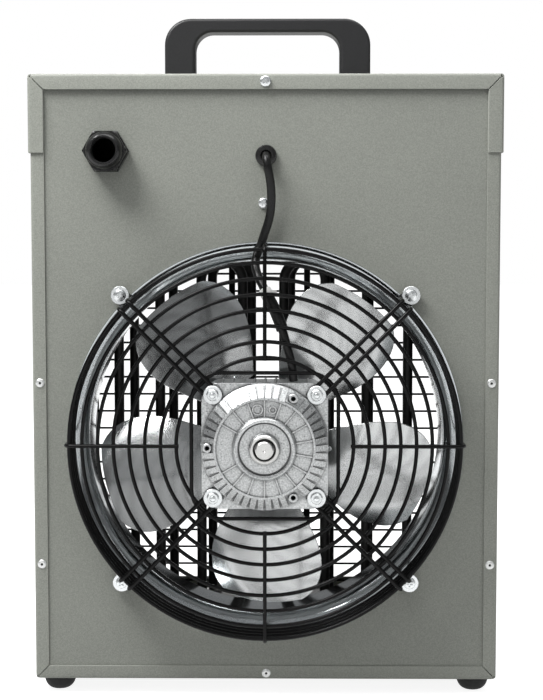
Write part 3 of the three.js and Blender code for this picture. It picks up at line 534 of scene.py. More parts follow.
def arc(radius, y, size, start, end, steps=8):
    """Points of an arc of a size round a centre: (radius, depth) in a profile, (x, z) in an outline."""
    angles = [math.radians(start + (end - start) * i / steps) for i in range(steps + 1)]
    return [(radius + size * math.cos(a), y + size * math.sin(a)) for a in angles]


# Fine turning lines round the fan axis, for what is spun or turned on a lathe.
LINES, given, result = new_group(
    "turning_lines",
    [("Axis height", "Float", 0.2287), ("Depth", "Float", 0.1)], [("Height", "Float"), ("Tone", "Float")],
)
place = node(LINES, "SeparateXYZ", {0: node(LINES, "TexCoord").outputs["Object"]}).outputs
up = maths(LINES, "SUBTRACT", place["Z"], given["Axis height"])
round_axis = maths(LINES, "ARCTAN2", up, place["X"])
squares = [maths(LINES, "POWER", part, 2.0) for part in (up, place["X"])]
out = maths(LINES, "SQRT", maths(LINES, "ADD", *squares))
slow = maths(LINES, "MULTIPLY", round_axis, 0.004)
spread = node(LINES, "CombineXYZ", {0: slow, 1: out, 2: place["Y"]}).outputs[0]
lines = node(LINES, "TexNoise", {"Vector": spread, "Scale": 1400.0, "Detail": 2.0}).outputs[0]
LINES.links.new(lines, result["Tone"])
LINES.links.new(maths(LINES, "MULTIPLY", lines, given["Depth"]), result["Height"])


def spun_metal(name, dark, light, roughness, depth):
    """Bright metal with turning lines round the fan axis."""
    material, tree, shader = new_material(name)
    lined = use_group(tree, LINES, {"Axis height": AXIS_Z / 1000, "Depth": depth})
    tree.links.new(mix_colour(tree, lined["Tone"], (*dark, 1), (*light, 1)), shader.inputs["Base Color"])
    rough = node(tree, "MapRange", {0: lined["Tone"], 3: roughness[0], 4: roughness[1]}).outputs[0]
    tree.links.new(rough, shader.inputs["Roughness"])
    shader.inputs["Metallic"].default_value = 1.0
    raised = node(tree, "Bump", {"Height": lined["Height"], "Distance": 0.0002, "Strength": 0.6})
    tree.links.new(raised.outputs[0], shader.inputs["Normal"])
    return material


ring_steel = spun_metal("ring_steel", (0.34, 0.36, 0.37), (0.58, 0.61, 0.62), (0.07, 0.15), 0.012)
low, high = corners("inlet_ring")
LIP = high.x
THROAT = 156.5
RING_SHEET = 1.2
curve = LIP - 1 - THROAT
ring_profile = [(LIP, low.y + 0.5), (LIP - 0.4, low.y)]
ring_profile += arc(LIP - 1, low.y + curve, curve, 270, 180, 18)
ring_profile += [(THROAT, high.y), (THROAT + RING_SHEET, high.y)]
ring_profile += arc(LIP - 1, low.y + curve, curve - RING_SHEET, 180, 270, 18)
ring_profile += [(LIP, low.y + RING_SHEET)]
piece("bell_mouth", turned(ring_profile, 144, 0, AXIS_Z), ring_steel, ["inlet_ring"], sharp=50)

# ---- Fan wheel ----------------------------------------------------------------------------------
# Five blades pressed from aluminium sheet, slightly cambered, are each riveted to an arm of the steel
# spider on the shaft. The wheel turns as one.
BLADE_PITCH = 21
BLADE_Y = 27
BLADE_SHEET = 1.6
TIP = 150
CAMBER = 5
ROOT_HEIGHT = 50
HOLLOW_REACH = 30


def brushed(name, dark, light, roughness, scale):
    """Smooth rolled sheet, with faint streaks of tone and of roughness along one of its axes."""
    material, tree, shader = new_material(name)
    own = node(tree, "TexCoord").outputs["Object"]
    place = node(tree, "Mapping", {"Vector": own, "Scale": scale}).outputs[0]
    lines = node(tree, "TexNoise", {"Vector": place, "Scale": 1.0, "Detail": 3.0}).outputs[0]
    cloud = node(tree, "TexNoise", {"Vector": own, "Scale": 14.0}).outputs[0]
    tone = node(tree, "Mix", {0: 0.6, 2: lines, 3: cloud}).outputs[0]
    tree.links.new(mix_colour(tree, tone, (*dark, 1), (*light, 1)), shader.inputs["Base Color"])
    rough = node(tree, "MapRange", {0: tone, 1: 0.3, 2: 0.7, 3: roughness[0], 4: roughness[1]}).outputs[0]
    tree.links.new(rough, shader.inputs["Roughness"])
    shader.inputs["Metallic"].default_value = 1.0
    return material


def bezier(a, b, c, d, steps):
    spots = []
    for i in range(steps + 1):
        t = i / steps
        weights = ((1 - t) ** 3, 3 * t * (1 - t) ** 2, 3 * t * t * (1 - t), t ** 3)
        spots.append(tuple(sum(w * p[k] for w, p in zip(weights, (a, b, c, d))) for k in range(2)))
    return spots


def blade_sheet():
    """One blade at 12 o'clock, before it is pitched, in rows of points from a narrow root to a broad tip."""
    corner = 36
    tip_height = math.sqrt(TIP ** 2 - corner ** 2)
    side = bezier((24, ROOT_HEIGHT), (31, 62), (50, 84), (53, 108), 12)
    side += bezier((53, 108), (54.5, 125), (50, 140), (corner, tip_height), 8)[1:]
    widest = max(x for x, _ in side)
    last = len(side) - 1
    columns = 16
    points = []
    for row, (x_side, height) in enumerate(side):
        for column in range(columns + 1):
            x = x_side * (2 * column / columns - 1)
            arched = (math.sqrt(TIP ** 2 - x * x) - tip_height) * (row / last) ** 4 if row else 0
            hollow = min((height - ROOT_HEIGHT) / HOLLOW_REACH, 1) * CAMBER * (1 - (x / widest) ** 2)
            points.append((x, -hollow, height + arched))
    across = columns + 1
    faces = [(r * across + c, r * across + c + 1, (r + 1) * across + c + 1, (r + 1) * across + c)
             for r in range(last) for c in range(columns)]
    return points, faces


def on_wheel(mesh, degrees):
    """From a blade's own plane at 12 o'clock to its place, clockwise seen from the intake."""
    pitch = Matrix.Rotation(math.radians(BLADE_PITCH), 4, "Z")
    turn = Matrix.Rotation(math.radians(degrees), 4, "Y")
    back = Matrix.Translation((0, BLADE_Y, 0))
    return moved(mesh, Matrix.Translation((0, 0, AXIS_Z)) @ turn @ back @ pitch)


blade_aluminium = brushed("blade_aluminium", (0.46, 0.47, 0.47), (0.58, 0.59, 0.59), (0.14, 0.24),
                          (220, 220, 9))
zinc = finish("zinc", (0.55, 0.57, 0.58), (0.78, 0.8, 0.8), (0.2, 0.34), 1.0, 300, 0.002)
BLADES = 5
RIVET_PLACES = ((-8, 57), (8, 57), (0, 69))
rivets = []
for number in range(BLADES):
    degrees = 180 + 360 / BLADES * number
    blade = piece(f"blade_{number + 1}", on_wheel(blade_sheet(), degrees), blade_aluminium,
                  [f"fan_blade_{number + 1}"], body="fan", outward=lambda point: Vector((0, -1, 0)))
    solid = blade.modifiers.new("sheet", "SOLIDIFY")
    solid.thickness = BLADE_SHEET / 1000
    solid.offset = 0
    round_edges(blade, 0.4, degrees=60)
    for x, height in RIVET_PLACES:
        dome = [(0, -1.9), *[(r, y) for r, y in arc(0, -0.3, 2.8, 300, 360, 6)][1:], (2.8, 0.2), (0, 0.2)]
        spot = Matrix.Translation((x, -BLADE_SHEET / 2, height))
        rivets.append(on_wheel(moved(turned(dome, 16), spot), degrees))
piece("blade_rivets", join(*rivets), zinc, body="fan")
keep("fan_hub", galvanised, edge=0.4)

# ---- Motor shaft and rotor ----------------------------------------------------------------------
# The ground shaft shows its end in the middle of the motor, with a turned chamfer and a centre hole.
ground_steel = spun_metal("ground_steel", (0.5, 0.5, 0.49), (0.72, 0.72, 0.7), (0.22, 0.4), 0.1)
low, high = corners("motor_shaft")
journal = high.x
shaft_profile = [(0, low.y + 1.2), (0.9, low.y + 0.3), (1.3, low.y), (journal - 0.8, low.y)]
shaft_profile += [(journal, low.y + 0.8)]
shaft_profile += [(journal, 8), (6, 8), (6, high.y - 0.6), (5.4, high.y), (0, high.y)]
piece("turned_shaft", turned(shaft_profile, 64, 0, AXIS_Z), ground_steel, ["motor_shaft"],
      body="fan")
lamination = finish("lamination", (0.16, 0.16, 0.17), (0.28, 0.28, 0.29), (0.3, 0.5), 0.8, 400, 0.02)
keep("stator_core", lamination)
keep("rotor_core", lamination)
keep("rear_bearing", ground_steel)
keep("front_bearing", ground_steel)

# ---- Motor housing ------------------------------------------------------------------------------
# The square motor body is die-cast aluminium with round corners. Low cooling ribs run along its four
# sides, flush with the thin flange that faces the end bell.

# Painted shade: an ambient-occlusion mask darkens the colour towards near black in the corners between fins,
# ribs and seats.
RECESS_SHADE, given, result = new_group(
    "recess_painted_shade",
    [("Colour", "Color", (0.5, 0.5, 0.5, 1)), ("Reach", "Float", 0.004), ("Amount", "Float", 0.8)],
    [("Colour", "Color")],
)
hollow = node(RECESS_SHADE, "AmbientOcclusion", {"Distance": given["Reach"]}, samples=8).outputs["AO"]
shade_share = node(RECESS_SHADE, "MapRange", {0: hollow, 1: 0.9, 2: 0.35}).outputs[0]
shade_share = maths(RECESS_SHADE, "MULTIPLY", shade_share, given["Amount"])
RECESS_SHADE.links.new(mix_colour(RECESS_SHADE, shade_share, given["Colour"], (0.012, 0.012, 0.013, 1)), result["Colour"])


def add_painted_recess_shade(material, reach, amount):
    """Puts painted recess shade between a finished material's colour and its shader."""
    tree = material.node_tree
    colour = tree.nodes["Principled BSDF"].inputs["Base Color"]
    before = colour.links[0].from_socket
    after = use_group(tree, RECESS_SHADE, {"Colour": before, "Reach": reach / 1000, "Amount": amount})["Colour"]
    tree.links.new(after, colour)


# Its edges are lightened almost to white: painted highlight on rims and ribs as well as wear.
cast_aluminium = finish("cast_aluminium", (0.24, 0.25, 0.25), (0.7, 0.71, 0.71), (0.24, 0.42), 0.92, 700,
                        0.04, wear_and_highlight=((0.95, 0.95, 0.95), 0.5, 0.75))
# Painted shade darkens the cast metal in its recesses.
add_painted_recess_shade(cast_aluminium, 4, 0.9)


def rounded_square(half, radius, steps=8, z=0.0):
    spots = []
    for x, up, start in ((1, -1, -90), (1, 1, 0), (-1, 1, 90), (-1, -1, 180)):
        spots += arc(x * (half - radius), z + up * (half - radius), radius, start, start + 90, steps)
    return spots


low, high = corners("motor_housing")
half = high.x
body_parts = [prism(rounded_square(half - 1.2, 14, z=AXIS_Z), low.y + 3, high.y)]
body_parts.append(prism(rounded_square(half, 15, z=AXIS_Z), low.y, low.y + 5))
RIBS, RIB_HALF, RIB_DEPTH, RIB_MARGIN = 9, 0.9, 2, 17
for number in range(RIBS):
    place = -half + RIB_MARGIN + number * (2 * half - 2 * RIB_MARGIN) / (RIBS - 1)
    start, end = place - RIB_HALF, place + RIB_HALF
    for side in (-1, 1):
        foot, crest = side * (half - RIB_DEPTH), side * half
        across = rectangle(foot, AXIS_Z + start, crest, AXIS_Z + end)
        above = rectangle(start, AXIS_Z + foot, end, AXIS_Z + crest)
        body_parts += [prism(across, low.y + 4, high.y - 3), prism(above, low.y + 4, high.y - 3)]
housing = piece("cast_housing", join(*body_parts), cast_aluminium, ["motor_housing"])
round_edges(housing, 0.8, segments=3)

# ---- Motor end bell -----------------------------------------------------------------------------
# The round cast cover closes the motor. A ring of short fins slopes to its rim, thin ribs cross its flat
# ring, and three screw bosses stand on the slope round a raised bearing seat.
low, high = corners("motor_end_bell")
BELL = high.x + 1.2
face = high.y
RING_OUT, RING_IN, SEAT = 42, 26.6, 21.5
bell_profile = [(0, face), (BELL, face), (BELL, face - 5.4), (BELL - 0.6, face - 6)]
bell_profile += [(RING_OUT + 1.6, face - 15.6), (RING_OUT + 0.9, face - 18.2), (RING_OUT - 0.7, face - 18.2)]
bell_profile += [(RING_OUT - 1.5, face - 16.4), (RING_IN + 1, face - 16.4), (RING_IN + 0.4, face - 17.8)]
bell_profile += [(RING_IN - 0.6, face - 20), (RING_IN - 1.6, face - 20.8), (RING_IN - 3.2, face - 20.8)]
bell_profile += [(SEAT + 1.2, face - 20.4), (SEAT + 1, face - 16.8), (SEAT - 0.2, face - 16.8)]
bell_profile += [(SEAT - 0.4, face - 18), (13.4, face - 18)]
bell_profile += [(12.6, face - 18.9), (12.6, low.y + 1), (11.9, low.y), (9.6, low.y), (8.4, low.y + 1.6)]
bell_profile += [(8.4, face - 12), (0, face - 12)]
bell_parts = [turned(bell_profile, 96, 0, AXIS_Z)]


def about_axis(mesh, degrees):
    turn = Matrix.Translation((0, 0, AXIS_Z)) @ Matrix.Rotation(math.radians(degrees), 4, "Y")
    return moved(mesh, turn)


def spoke(inner, outer, width, angle):
    """A flat radial strip: (radius, depth, height) at its two ends, standing on the bell."""
    (r0, y0, drop0), (r1, y1, drop1) = inner, outer
    side = width / 2
    points = [(x, y, r) for r, y, drop in ((r0, y0, drop0), (r1, y1, drop1))
              for x, y in ((-side, y + drop), (side, y + drop), (side, y), (-side, y))]
    faces = [(0, 1, 2, 3), (4, 7, 6, 5), (0, 4, 5, 1), (1, 5, 6, 2), (2, 6, 7, 3), (3, 7, 4, 0)]
    return about_axis((points, faces), angle)


def at_clock(radius, degrees):
    """A place (x, z) round the fan axis, clockwise from 12 o'clock."""
    angle = math.radians(degrees)
    return radius * math.sin(angle), AXIS_Z + radius * math.cos(angle)


FINS = 46
BOSS_ANGLES = (30, 150, 270)
BOSS_OUT = 48.4
for number in range(FINS):
    angle = 360 * (number + 0.5) / FINS
    if min(abs((angle - boss + 180) % 360 - 180) for boss in BOSS_ANGLES) > 6:
        bell_parts.append(spoke((RING_OUT + 1, face - 17.8, 4), (BELL - 0.3, face - 8.2, 4), 4.6, angle))
RIB_ANGLES = [angle for angle in range(0, 360, 20) if angle not in (260, 280)]
for angle in RIB_ANGLES:
    bell_parts.append(spoke((RING_IN, face - 18, 3), (RING_OUT - 1, face - 18, 3), 1.0, angle))
RIM_OUT = 33.5
for angle, size in ((350, 4.6), (12, 3.2)):
    rim = [(size, face - 16), (size, face - 17.9), (size - 0.9, face - 17.9), (size - 0.9, face - 16)]
    bell_parts.append(turned(rim, 32, *at_clock(RIM_OUT, angle)))
boss = [(4.1, face - 4), (4.1, face - 14.6), (3.5, face - 15.2), (2.2, face - 15.2), (1.9, face - 14.8)]
boss += [(1.9, face - 4)]
# The floor of each boss hole is a near-black disc: painted shade deep in the hole.
hole_floor = [(0, face - 6), (1.92, face - 6), (1.92, face - 5), (0, face - 5)]
boss_hole_shade_discs = []
for angle in BOSS_ANGLES:
    bell_parts.append(turned(boss, 32, *at_clock(BOSS_OUT, angle)))
    boss_hole_shade_discs.append(turned(hole_floor, 24, *at_clock(BOSS_OUT, angle)))
piece("cast_end_bell", join(*bell_parts), cast_aluminium, ["motor_end_bell"], sharp=30)
piece("boss_hole_shade", join(*boss_hole_shade_discs), heat_dark)
nut_profile = [(9.3, face - 18), (12.4, face - 18), (12.4, low.y + 0.2), (11.4, low.y - 0.9)]
nut_profile += [(9.9, low.y - 0.9), (9.3, low.y - 0.2)]
piece("bearing_nut", turned(nut_profile, 64, 0, AXIS_Z), ground_steel)

# ---- Fan guard ----------------------------------------------------------------------------------
# The basket is welded from black-coated wire: seven rings over the fan, four round the side, a rounded
# square round the motor, four straight spokes and four double arms looped round the panel screws.
low, high = corners("fan_guard")
RING_WIRE = 1.7
ARM_WIRE = 1.9
PLANE = -45.2
OUTER = 167
ARM_HALF = 5
arm_y = PLANE - RING_WIRE - ARM_WIRE + 0.8
LIP_FACE = corners("inlet_ring")[0].y
guard_screw = corners("guard_screw_2")
SCREW_OUT = (guard_screw[0].x + guard_screw[1].x) / 2 * math.sqrt(2)
motor_screw = corners("motor_screw_2")
MOTOR_OUT = (motor_screw[0].x + motor_screw[1].x) / 2 * math.sqrt(2)


def ring(radius, y, wire):
    spots = [(radius * math.sin(2 * math.pi * i / 120), y, AXIS_Z + radius * math.cos(2 * math.pi * i / 120))
             for i in range(120)]
    return tube(spots, wire, 10, closed=True)


def softened(path, size, steps=5):
    """Replaces each inner corner of a path by a short round bend."""
    spots = [Vector(p) for p in path]
    made = [spots[0]]
    for before, spot, after in zip(spots, spots[1:], spots[2:]):
        reach = min(size, (spot - before).length * 0.48, (after - spot).length * 0.48)
        start = spot + (before - spot).normalized() * reach
        end = spot + (after - spot).normalized() * reach
        for i in range(steps + 1):
            t = i / steps
            made.append(start * (1 - t) ** 2 + spot * 2 * t * (1 - t) + end * t ** 2)
    return [tuple(p) for p in made + [spots[-1]]]


FIRST_RING, RING_STEP, SIDE_STEP = 75.5, 13.4, 10
SQUARE_HALF, SQUARE_CORNER = 62.5, 25
basket = [ring(FIRST_RING + RING_STEP * i, PLANE, RING_WIRE) for i in range(7)]
basket += [ring(OUTER, PLANE + SIDE_STEP * i, RING_WIRE) for i in range(4)]
square = rounded_square(SQUARE_HALF, SQUARE_CORNER, 8, AXIS_Z)
basket.append(tube([(x, PLANE, z) for x, z in square], RING_WIRE, 10, closed=True))
arm_side = OUTER + RING_WIRE + ARM_WIRE - 0.7
arm_low = LIP_FACE - 0.3 - ARM_WIRE
leg = [(ARM_HALF, arm_y, MOTOR_OUT - 6), (ARM_HALF, arm_y, arm_side), (ARM_HALF, arm_low, arm_side),
       (ARM_HALF, arm_low, SCREW_OUT)]
loop = [(ARM_HALF * math.cos(math.pi * i / 12), arm_low, SCREW_OUT + ARM_HALF * math.sin(math.pi * i / 12))
        for i in range(1, 12)]
right_leg = softened(leg, 7)
hairpin = right_leg + loop + [(-x, y, z) for x, y, z in reversed(right_leg)]
spoke_side = OUTER + 2 * RING_WIRE - 0.5
spoke_path = softened([(0, arm_y + 0.2, 73), (0, arm_y + 0.2, spoke_side), (0, PLANE + 32, spoke_side)], 7)
for number in range(4):
    basket.append(about_axis(tube(hairpin, ARM_WIRE, 12), 45 + 90 * number))
    basket.append(about_axis(tube(spoke_path, RING_WIRE, 12), 90 * number))
piece("guard_basket", join(*basket), black_wire, ["fan_guard"], sharp=60)

# ---- Screws and rivets --------------------------------------------------------------------------
# Zinc-plated pan heads with a cross recess hold the guard, the lid and the shelf, and round nuts on studs
# hold the motor. The guard's and the motor's sit on 16 mm washers. Blind rivets with a hollow middle join
# the wrap's rims to the panels.
HEAD_HEIGHT = 2.9
WASHER_RADIUS, WASHER_SHEET = 8, 1.2


def pan_head(radius, height):
    """The head of a screw with a cross cut in it, seated on y = 0 and standing towards -Y."""
    dome = [(0, 0), (radius, 0), (radius, -height * 0.45)]
    dome += [(radius * math.cos(a), -height * (0.45 + 0.55 * math.sin(a)))
             for a in (math.radians(12 * i) for i in range(1, 8))]
    dome += [(0, -height)]
    head = temporary(turned(dome, 40))
    arm, width = radius * 0.56, radius * 0.15
    for a, b in ((arm, width), (width, arm)):
        cutter = temporary(prism(rectangle(-a, -b, a, b), -height - 1, -height * 0.35))
        cut = head.modifiers.new("recess", "BOOLEAN")
        cut.operation = "DIFFERENCE"
        cut.object = cutter
        cut.solver = "EXACT"
    made = head.evaluated_get(bpy.context.evaluated_depsgraph_get()).to_mesh()
    mesh = ([tuple(v.co) for v in made.vertices], [tuple(f.vertices) for f in made.polygons])
    for used in [modifier.object for modifier in head.modifiers] + [head]:
        bpy.data.objects.remove(used)
    return mesh


def temporary(mesh):
    data = bpy.data.meshes.new("cutting")
    data.from_pydata(mesh[0], [], mesh[1])
    work = bmesh.new()
    work.from_mesh(data)
    bmesh.ops.recalc_face_normals(work, faces=work.faces)
    work.to_mesh(data)
    work.free()
    obj = bpy.data.objects.new("cutting", data)
    bpy.context.scene.collection.objects.link(obj)
    return obj


def stud_end():
    """A round nut with the end of its stud standing in the middle, seated on y = 0 towards -Y."""
    nut = [(0, 0), (4.9, 0), (4.9, -1.6), (4.3, -2.2), (2.7, -2.2), (2.4, -1.5)]
    return turned(nut + [(2.1, -1.5), (2.1, -2.6), (1.6, -3), (0, -3)], 40)


def screw(name, head, node_name, washer=0.0, spin=0.0):
    """A screw in the place of its solid. The washer or the head seats on the same plane as there."""
    low, high = corners(node_name)
    x, z = (low.x + high.x) / 2, (low.z + high.z) / 2
    seat = low.y + HEAD_HEIGHT + (WASHER_SHEET if washer else 0)
    pin = [(0, seat - 1), (2.1, seat - 1), (2.1, high.y - 1), (1.5, high.y), (0, high.y)]
    parts = [turned(pin, 20, x, z)]
    if washer:
        rim = [(2.6, seat), (washer, seat), (washer, seat - 0.9), (washer - 0.3, seat - WASHER_SHEET)]
        rim += [(2.6, seat - WASHER_SHEET)]
        parts.append(turned(rim, 48, x, z))
        lock = [(2.6, seat - 1.2), (5.4, seat - 1.2), (5.4, seat - 1.9), (5.1, seat - 2.1), (2.6, seat - 2.1)]
        parts.append(turned(lock, 40, x, z))
        seat -= 1.6
    spun = Matrix.Translation((x, seat, z)) @ Matrix.Rotation(math.radians(spin), 4, "Y")
    parts.append(moved(head, spun))
    return piece(name, join(*parts), zinc, [node_name], sharp=40)


wide_head = pan_head(4.8, HEAD_HEIGHT)
stud_head = stud_end()
for number, spin in zip(range(1, 5), (20, 65, 5, 40)):
    screw(f"panel_screw_{number}", wide_head, f"guard_screw_{number}", WASHER_RADIUS, spin)
    screw(f"housing_screw_{number}", stud_head, f"motor_screw_{number}", WASHER_RADIUS, spin + 30)
screw("lid_screw", wide_head, "cover_screw", spin=45)
screw("partition_screw", wide_head, "shelf_screw", spin=35)
keep("handle_screw_left", zinc, edge=0.2)
keep("handle_screw_right", zinc, edge=0.2)

rivet_white = finish("rivet_coat", (0.6, 0.61, 0.6), (0.8, 0.81, 0.8), (0.25, 0.4), 0.6, 500, 0.005)
wrap_low, wrap_high = corners("casing_wrap")
RIVET_IN = 6.6
dome = [(1.15, 0.1), (3.9, 0.1), (3.9, 0.25), (3.5, 0.75), (2.6, 1.15), (1.5, 1.3), (1.15, 1.2)]
# Each rivet's hollow middle holds a near-black disc, painted shade in the hole.
pit = [(0, 0.1), (1.2, 0.1), (1.2, 0.45), (0, 0.45)]
rivet_places = [(side * (wrap_high.x - RIVET_IN), z) for side in (-1, 1) for z in (117.2, 278.3)]
rivet_heads, rivet_hollow_shade_discs = [], []
for x, z in [*rivet_places, (0.5, 19.6)]:
    for seat, out in ((wrap_low.y, -1), (wrap_high.y, 1)):
        rivet_heads.append(turned([(r, seat + out * y) for r, y in dome], 28, x, z))
        rivet_hollow_shade_discs.append(turned([(r, seat + out * y) for r, y in pit], 16, x, z))
piece("blind_rivets", join(*rivet_heads), rivet_white)
piece("rivet_hollow_shade", join(*rivet_hollow_shade_discs), heat_dark)

# ---- Carrying handle ----------------------------------------------------------------------------
# A moulded black bow with round shoulders stands on two broad legs, screwed from inside the cover.
handle_plastic = finish("handle_plastic", (0.009, 0.009, 0.01), (0.02, 0.02, 0.021), (0.34, 0.5), 0.0, 1500,
                        0.02, wear_and_highlight=((0.05, 0.05, 0.05), 0.8, 0.5), dust=0.12, gloss=0.4)
low, high = corners("carry_handle")
LEG, BAR = 29, 13
half = high.x


def bow(out, cut, steps=14):
    """The handle's outline with its outer and inner corner radii."""
    spots = [(half, low.z)]
    for x, start in ((half - out, 0), (out - half, 90)):
        spots += arc(x, high.z - out, out, start, start + 90, steps)
    spots += [(-half, low.z), (LEG - half, low.z)]
    for x, start in ((LEG - half + cut, 180), (half - LEG - cut, 90)):
        spots += arc(x, high.z - BAR - cut, cut, start, start - 90, steps)
    return spots + [(half - LEG, low.z)]


grip = piece("moulded_handle", prism(bow(25, 17), low.y, high.y), handle_plastic,
             ["carry_handle"], sharp=60)
round_edges(grip, 3.2, segments=5, degrees=50)

# ---- Feet ---------------------------------------------------------------------------------------
# Four black rubber bumpers, each a half-round dome moulded on a flat disc.
foot_rubber = finish("foot_rubber", (0.008, 0.008, 0.008), (0.022, 0.022, 0.022), (0.7, 0.9), 0.0, 800, 0.04,
                     dust=0.4)
FLAT_RADIUS = 5.3
for label in ("rear_left", "rear_right", "front_left", "front_right"):
    low, high = corners(f"foot_{label}")
    x, y = (low.x + high.x) / 2, (low.y + high.y) / 2
    radius = (high.x - low.x) / 2
    rise = high.z - 0.01
    profile = [(0, 0), (FLAT_RADIUS, 0)]
    profile += [(FLAT_RADIUS + (radius - FLAT_RADIUS) * math.sin(a), rise * 0.82 * (1 - math.cos(a)))
                for a in (math.pi / 2 * i / 10 for i in range(1, 11))]
    profile += [(radius, high.z - 0.4), (radius - 0.4, high.z), (0, high.z)]
    upright = Matrix.Translation((x, y, 0)) @ Matrix.Rotation(math.pi / 2, 4, "X")
    dome = moved(turned(profile, 40), upright)
    piece(f"bumper_{label}", dome, foot_rubber, [f"foot_{label}"])

# ---- Cable gland --------------------------------------------------------------------------------
# An empty nylon gland waits for the supply cable: a hexagon body against the panel, a hexagon nut with a
# domed end, the rubber seal inside and the locknut behind the panel.
black_nylon = finish("black_nylon", (0.006, 0.006, 0.006), (0.014, 0.014, 0.014), (0.16, 0.28), 0.0, 900,
                     0.01, wear_and_highlight=((0.04, 0.04, 0.04), 0.5, 0.4), gloss=0.35)
low, high = corners("gland_body")
gland_x, gland_z = (low.x + high.x) / 2, (low.z + high.z) / 2
nut_low, nut_high = corners("gland_dome_nut")
BORE = 10.4
BODY_FLATS, NUT_FLATS = 35, 33.5


def hexagon_block(flats, y0, y1, bore, chamfer, turn=0.0):
    """A hexagon pierced by a round bore, its corners turned off at both faces."""
    sides = 72
    points, faces = [], []
    for y, trim in ((y0, chamfer), (y0 + chamfer * 0.6, 0), (y1 - chamfer * 0.6, 0), (y1, chamfer)):
        for i in range(sides):
            angle = 2 * math.pi * i / sides
            reach = flats / 2 / math.cos((angle - turn + math.pi / 6) % (math.pi / 3) - math.pi / 6)
            reach = min(reach, flats / math.sqrt(3) - trim)
            points.append((gland_x + reach * math.cos(angle), y, gland_z + reach * math.sin(angle)))
    for y in (y1, y0):
        points += [(gland_x + bore * across, y, gland_z + bore * up) for across, up in circle(1, sides)]
    rings = 6
    for ring_number in range(rings):
        after = (ring_number + 1) % rings
        for i in range(sides):
            j = (i + 1) % sides
            near, far = ring_number * sides, after * sides
            faces.append((near + i, near + j, far + j, far + i))
    return points, faces


body_hex = hexagon_block(BODY_FLATS, low.y + 10.0, -0.3, BORE, 1.6, math.pi / 6)
stub = [(BORE, low.y + 0.6), (BORE + 0.6, low.y), (12.3, low.y), (12.3, high.y), (BORE, high.y)]
body = join(body_hex, turned(stub, 48, gland_x, gland_z))
piece("gland_body_hexagon", body, black_nylon, ["gland_body"], sharp=25)
hex_end = nut_low.y + 9.5
dome = [(BORE + 1.6, hex_end + 0.5), (16.2, hex_end + 0.5), (16.2, hex_end), (15.8, nut_low.y + 5.5)]
dome += [(14.9, nut_low.y + 2.6), (13.6, nut_low.y + 0.9), (12.4, nut_low.y), (11.2, nut_low.y)]
dome += [(BORE, nut_low.y + 0.9), (BORE, nut_low.y + 4)]
nut_hex = hexagon_block(NUT_FLATS, hex_end, nut_high.y, 12.7, 1.6, math.pi / 6)
piece("gland_nut_dome", join(nut_hex, turned(dome, 72, gland_x, gland_z)), black_nylon,
      ["gland_dome_nut"], sharp=25)
seal_rubber = finish("seal_rubber", (0.003, 0.003, 0.003), (0.008, 0.008, 0.008), (0.6, 0.8), 0.0, 900, 0.02)
keep("gland_seal", seal_rubber)
keep("gland_locknut", black_nylon, edge=0.5)

# ---- Fan cable and bush -------------------------------------------------------------------------
# The motor's black lead comes out of the control bay through a snap-in bush, passes behind the guard and
# ends at the motor. A white tie and a length of thicker sleeve are on its lower half.
cable_jacket = finish("cable_jacket", (0.003, 0.003, 0.003), (0.008, 0.008, 0.008), (0.24, 0.36), 0.0, 600,
                      0.01, gloss=0.25)
tie_nylon = finish("tie_nylon", (0.86, 0.86, 0.84), (0.95, 0.95, 0.93), (0.3, 0.4), 0.0, 500, 0.01)
low, high = corners("cable_bush")
bush_x, bush_z = (low.x + high.x) / 2, (low.z + high.z) / 2
flare = (high.x - low.x) / 2
bush = [(4.2, low.y + 0.8), (4.9, low.y), (flare - 1.8, low.y), (flare - 0.5, low.y + 0.6)]
bush += [(flare, low.y + 2), (flare, -0.3), (7.4, -0.3), (7.4, 2.2), (8, 3.2), (7, high.y), (4.2, high.y)]
piece("snap_bush", turned(bush, 48, bush_x, bush_z), black_nylon, ["cable_bush"])

ROUTE = [
    (0.5, 24, 476.5), (0.5, 8, 476.5), (0.5, -6, 476.5), (1, -12.6, 473.6), (2.2, -15.4, 466),
    (4.2, -14, 455), (5.2, -11.5, 443), (4.8, -9, 431), (2.8, -7.5, 420), (-0.8, -6.9, 409),
    (-4.4, -7, 398), (-8, -9.2, 388.5), (-8.3, -15, 380), (-5.5, -23, 371.5), (-1.5, -30, 363.5),
    (2.5, -34, 355.5), (8, -36.5, 345), (14, -38, 330), (19.5, -38.2, 311), (23, -37.8, 297),
    (24.5, -37, 283.5),
]


def smooth_route(route, steps=6):
    """A curve through every point of a route."""
    spots = [Vector(p) for p in route]
    spots = [spots[0] * 2 - spots[1], *spots, spots[-1] * 2 - spots[-2]]
    made = []
    for a, b, c, d in zip(spots, spots[1:], spots[2:], spots[3:]):
        for i in range(steps):
            t = i / steps
            made.append(((2 * b) + (c - a) * t + (2 * a - 5 * b + 4 * c - d) * t * t
                         + (3 * b - a - 3 * c + d) * t ** 3) * 0.5)
    return made + [spots[-2]]


line = smooth_route(ROUTE)
CABLE = 3.75
SLEEVE_LOW, TIE_LOW, TIE_HIGH = 324, 354, 361
piece("motor_lead", tube(line, CABLE, 20), cable_jacket, ["fan_cable"], sharp=60)


def stretch(low_z, high_z):
    """The points of the lead that run between two heights outside the bay."""
    return [p for p in line if low_z <= p.z <= high_z and p.y < -20]


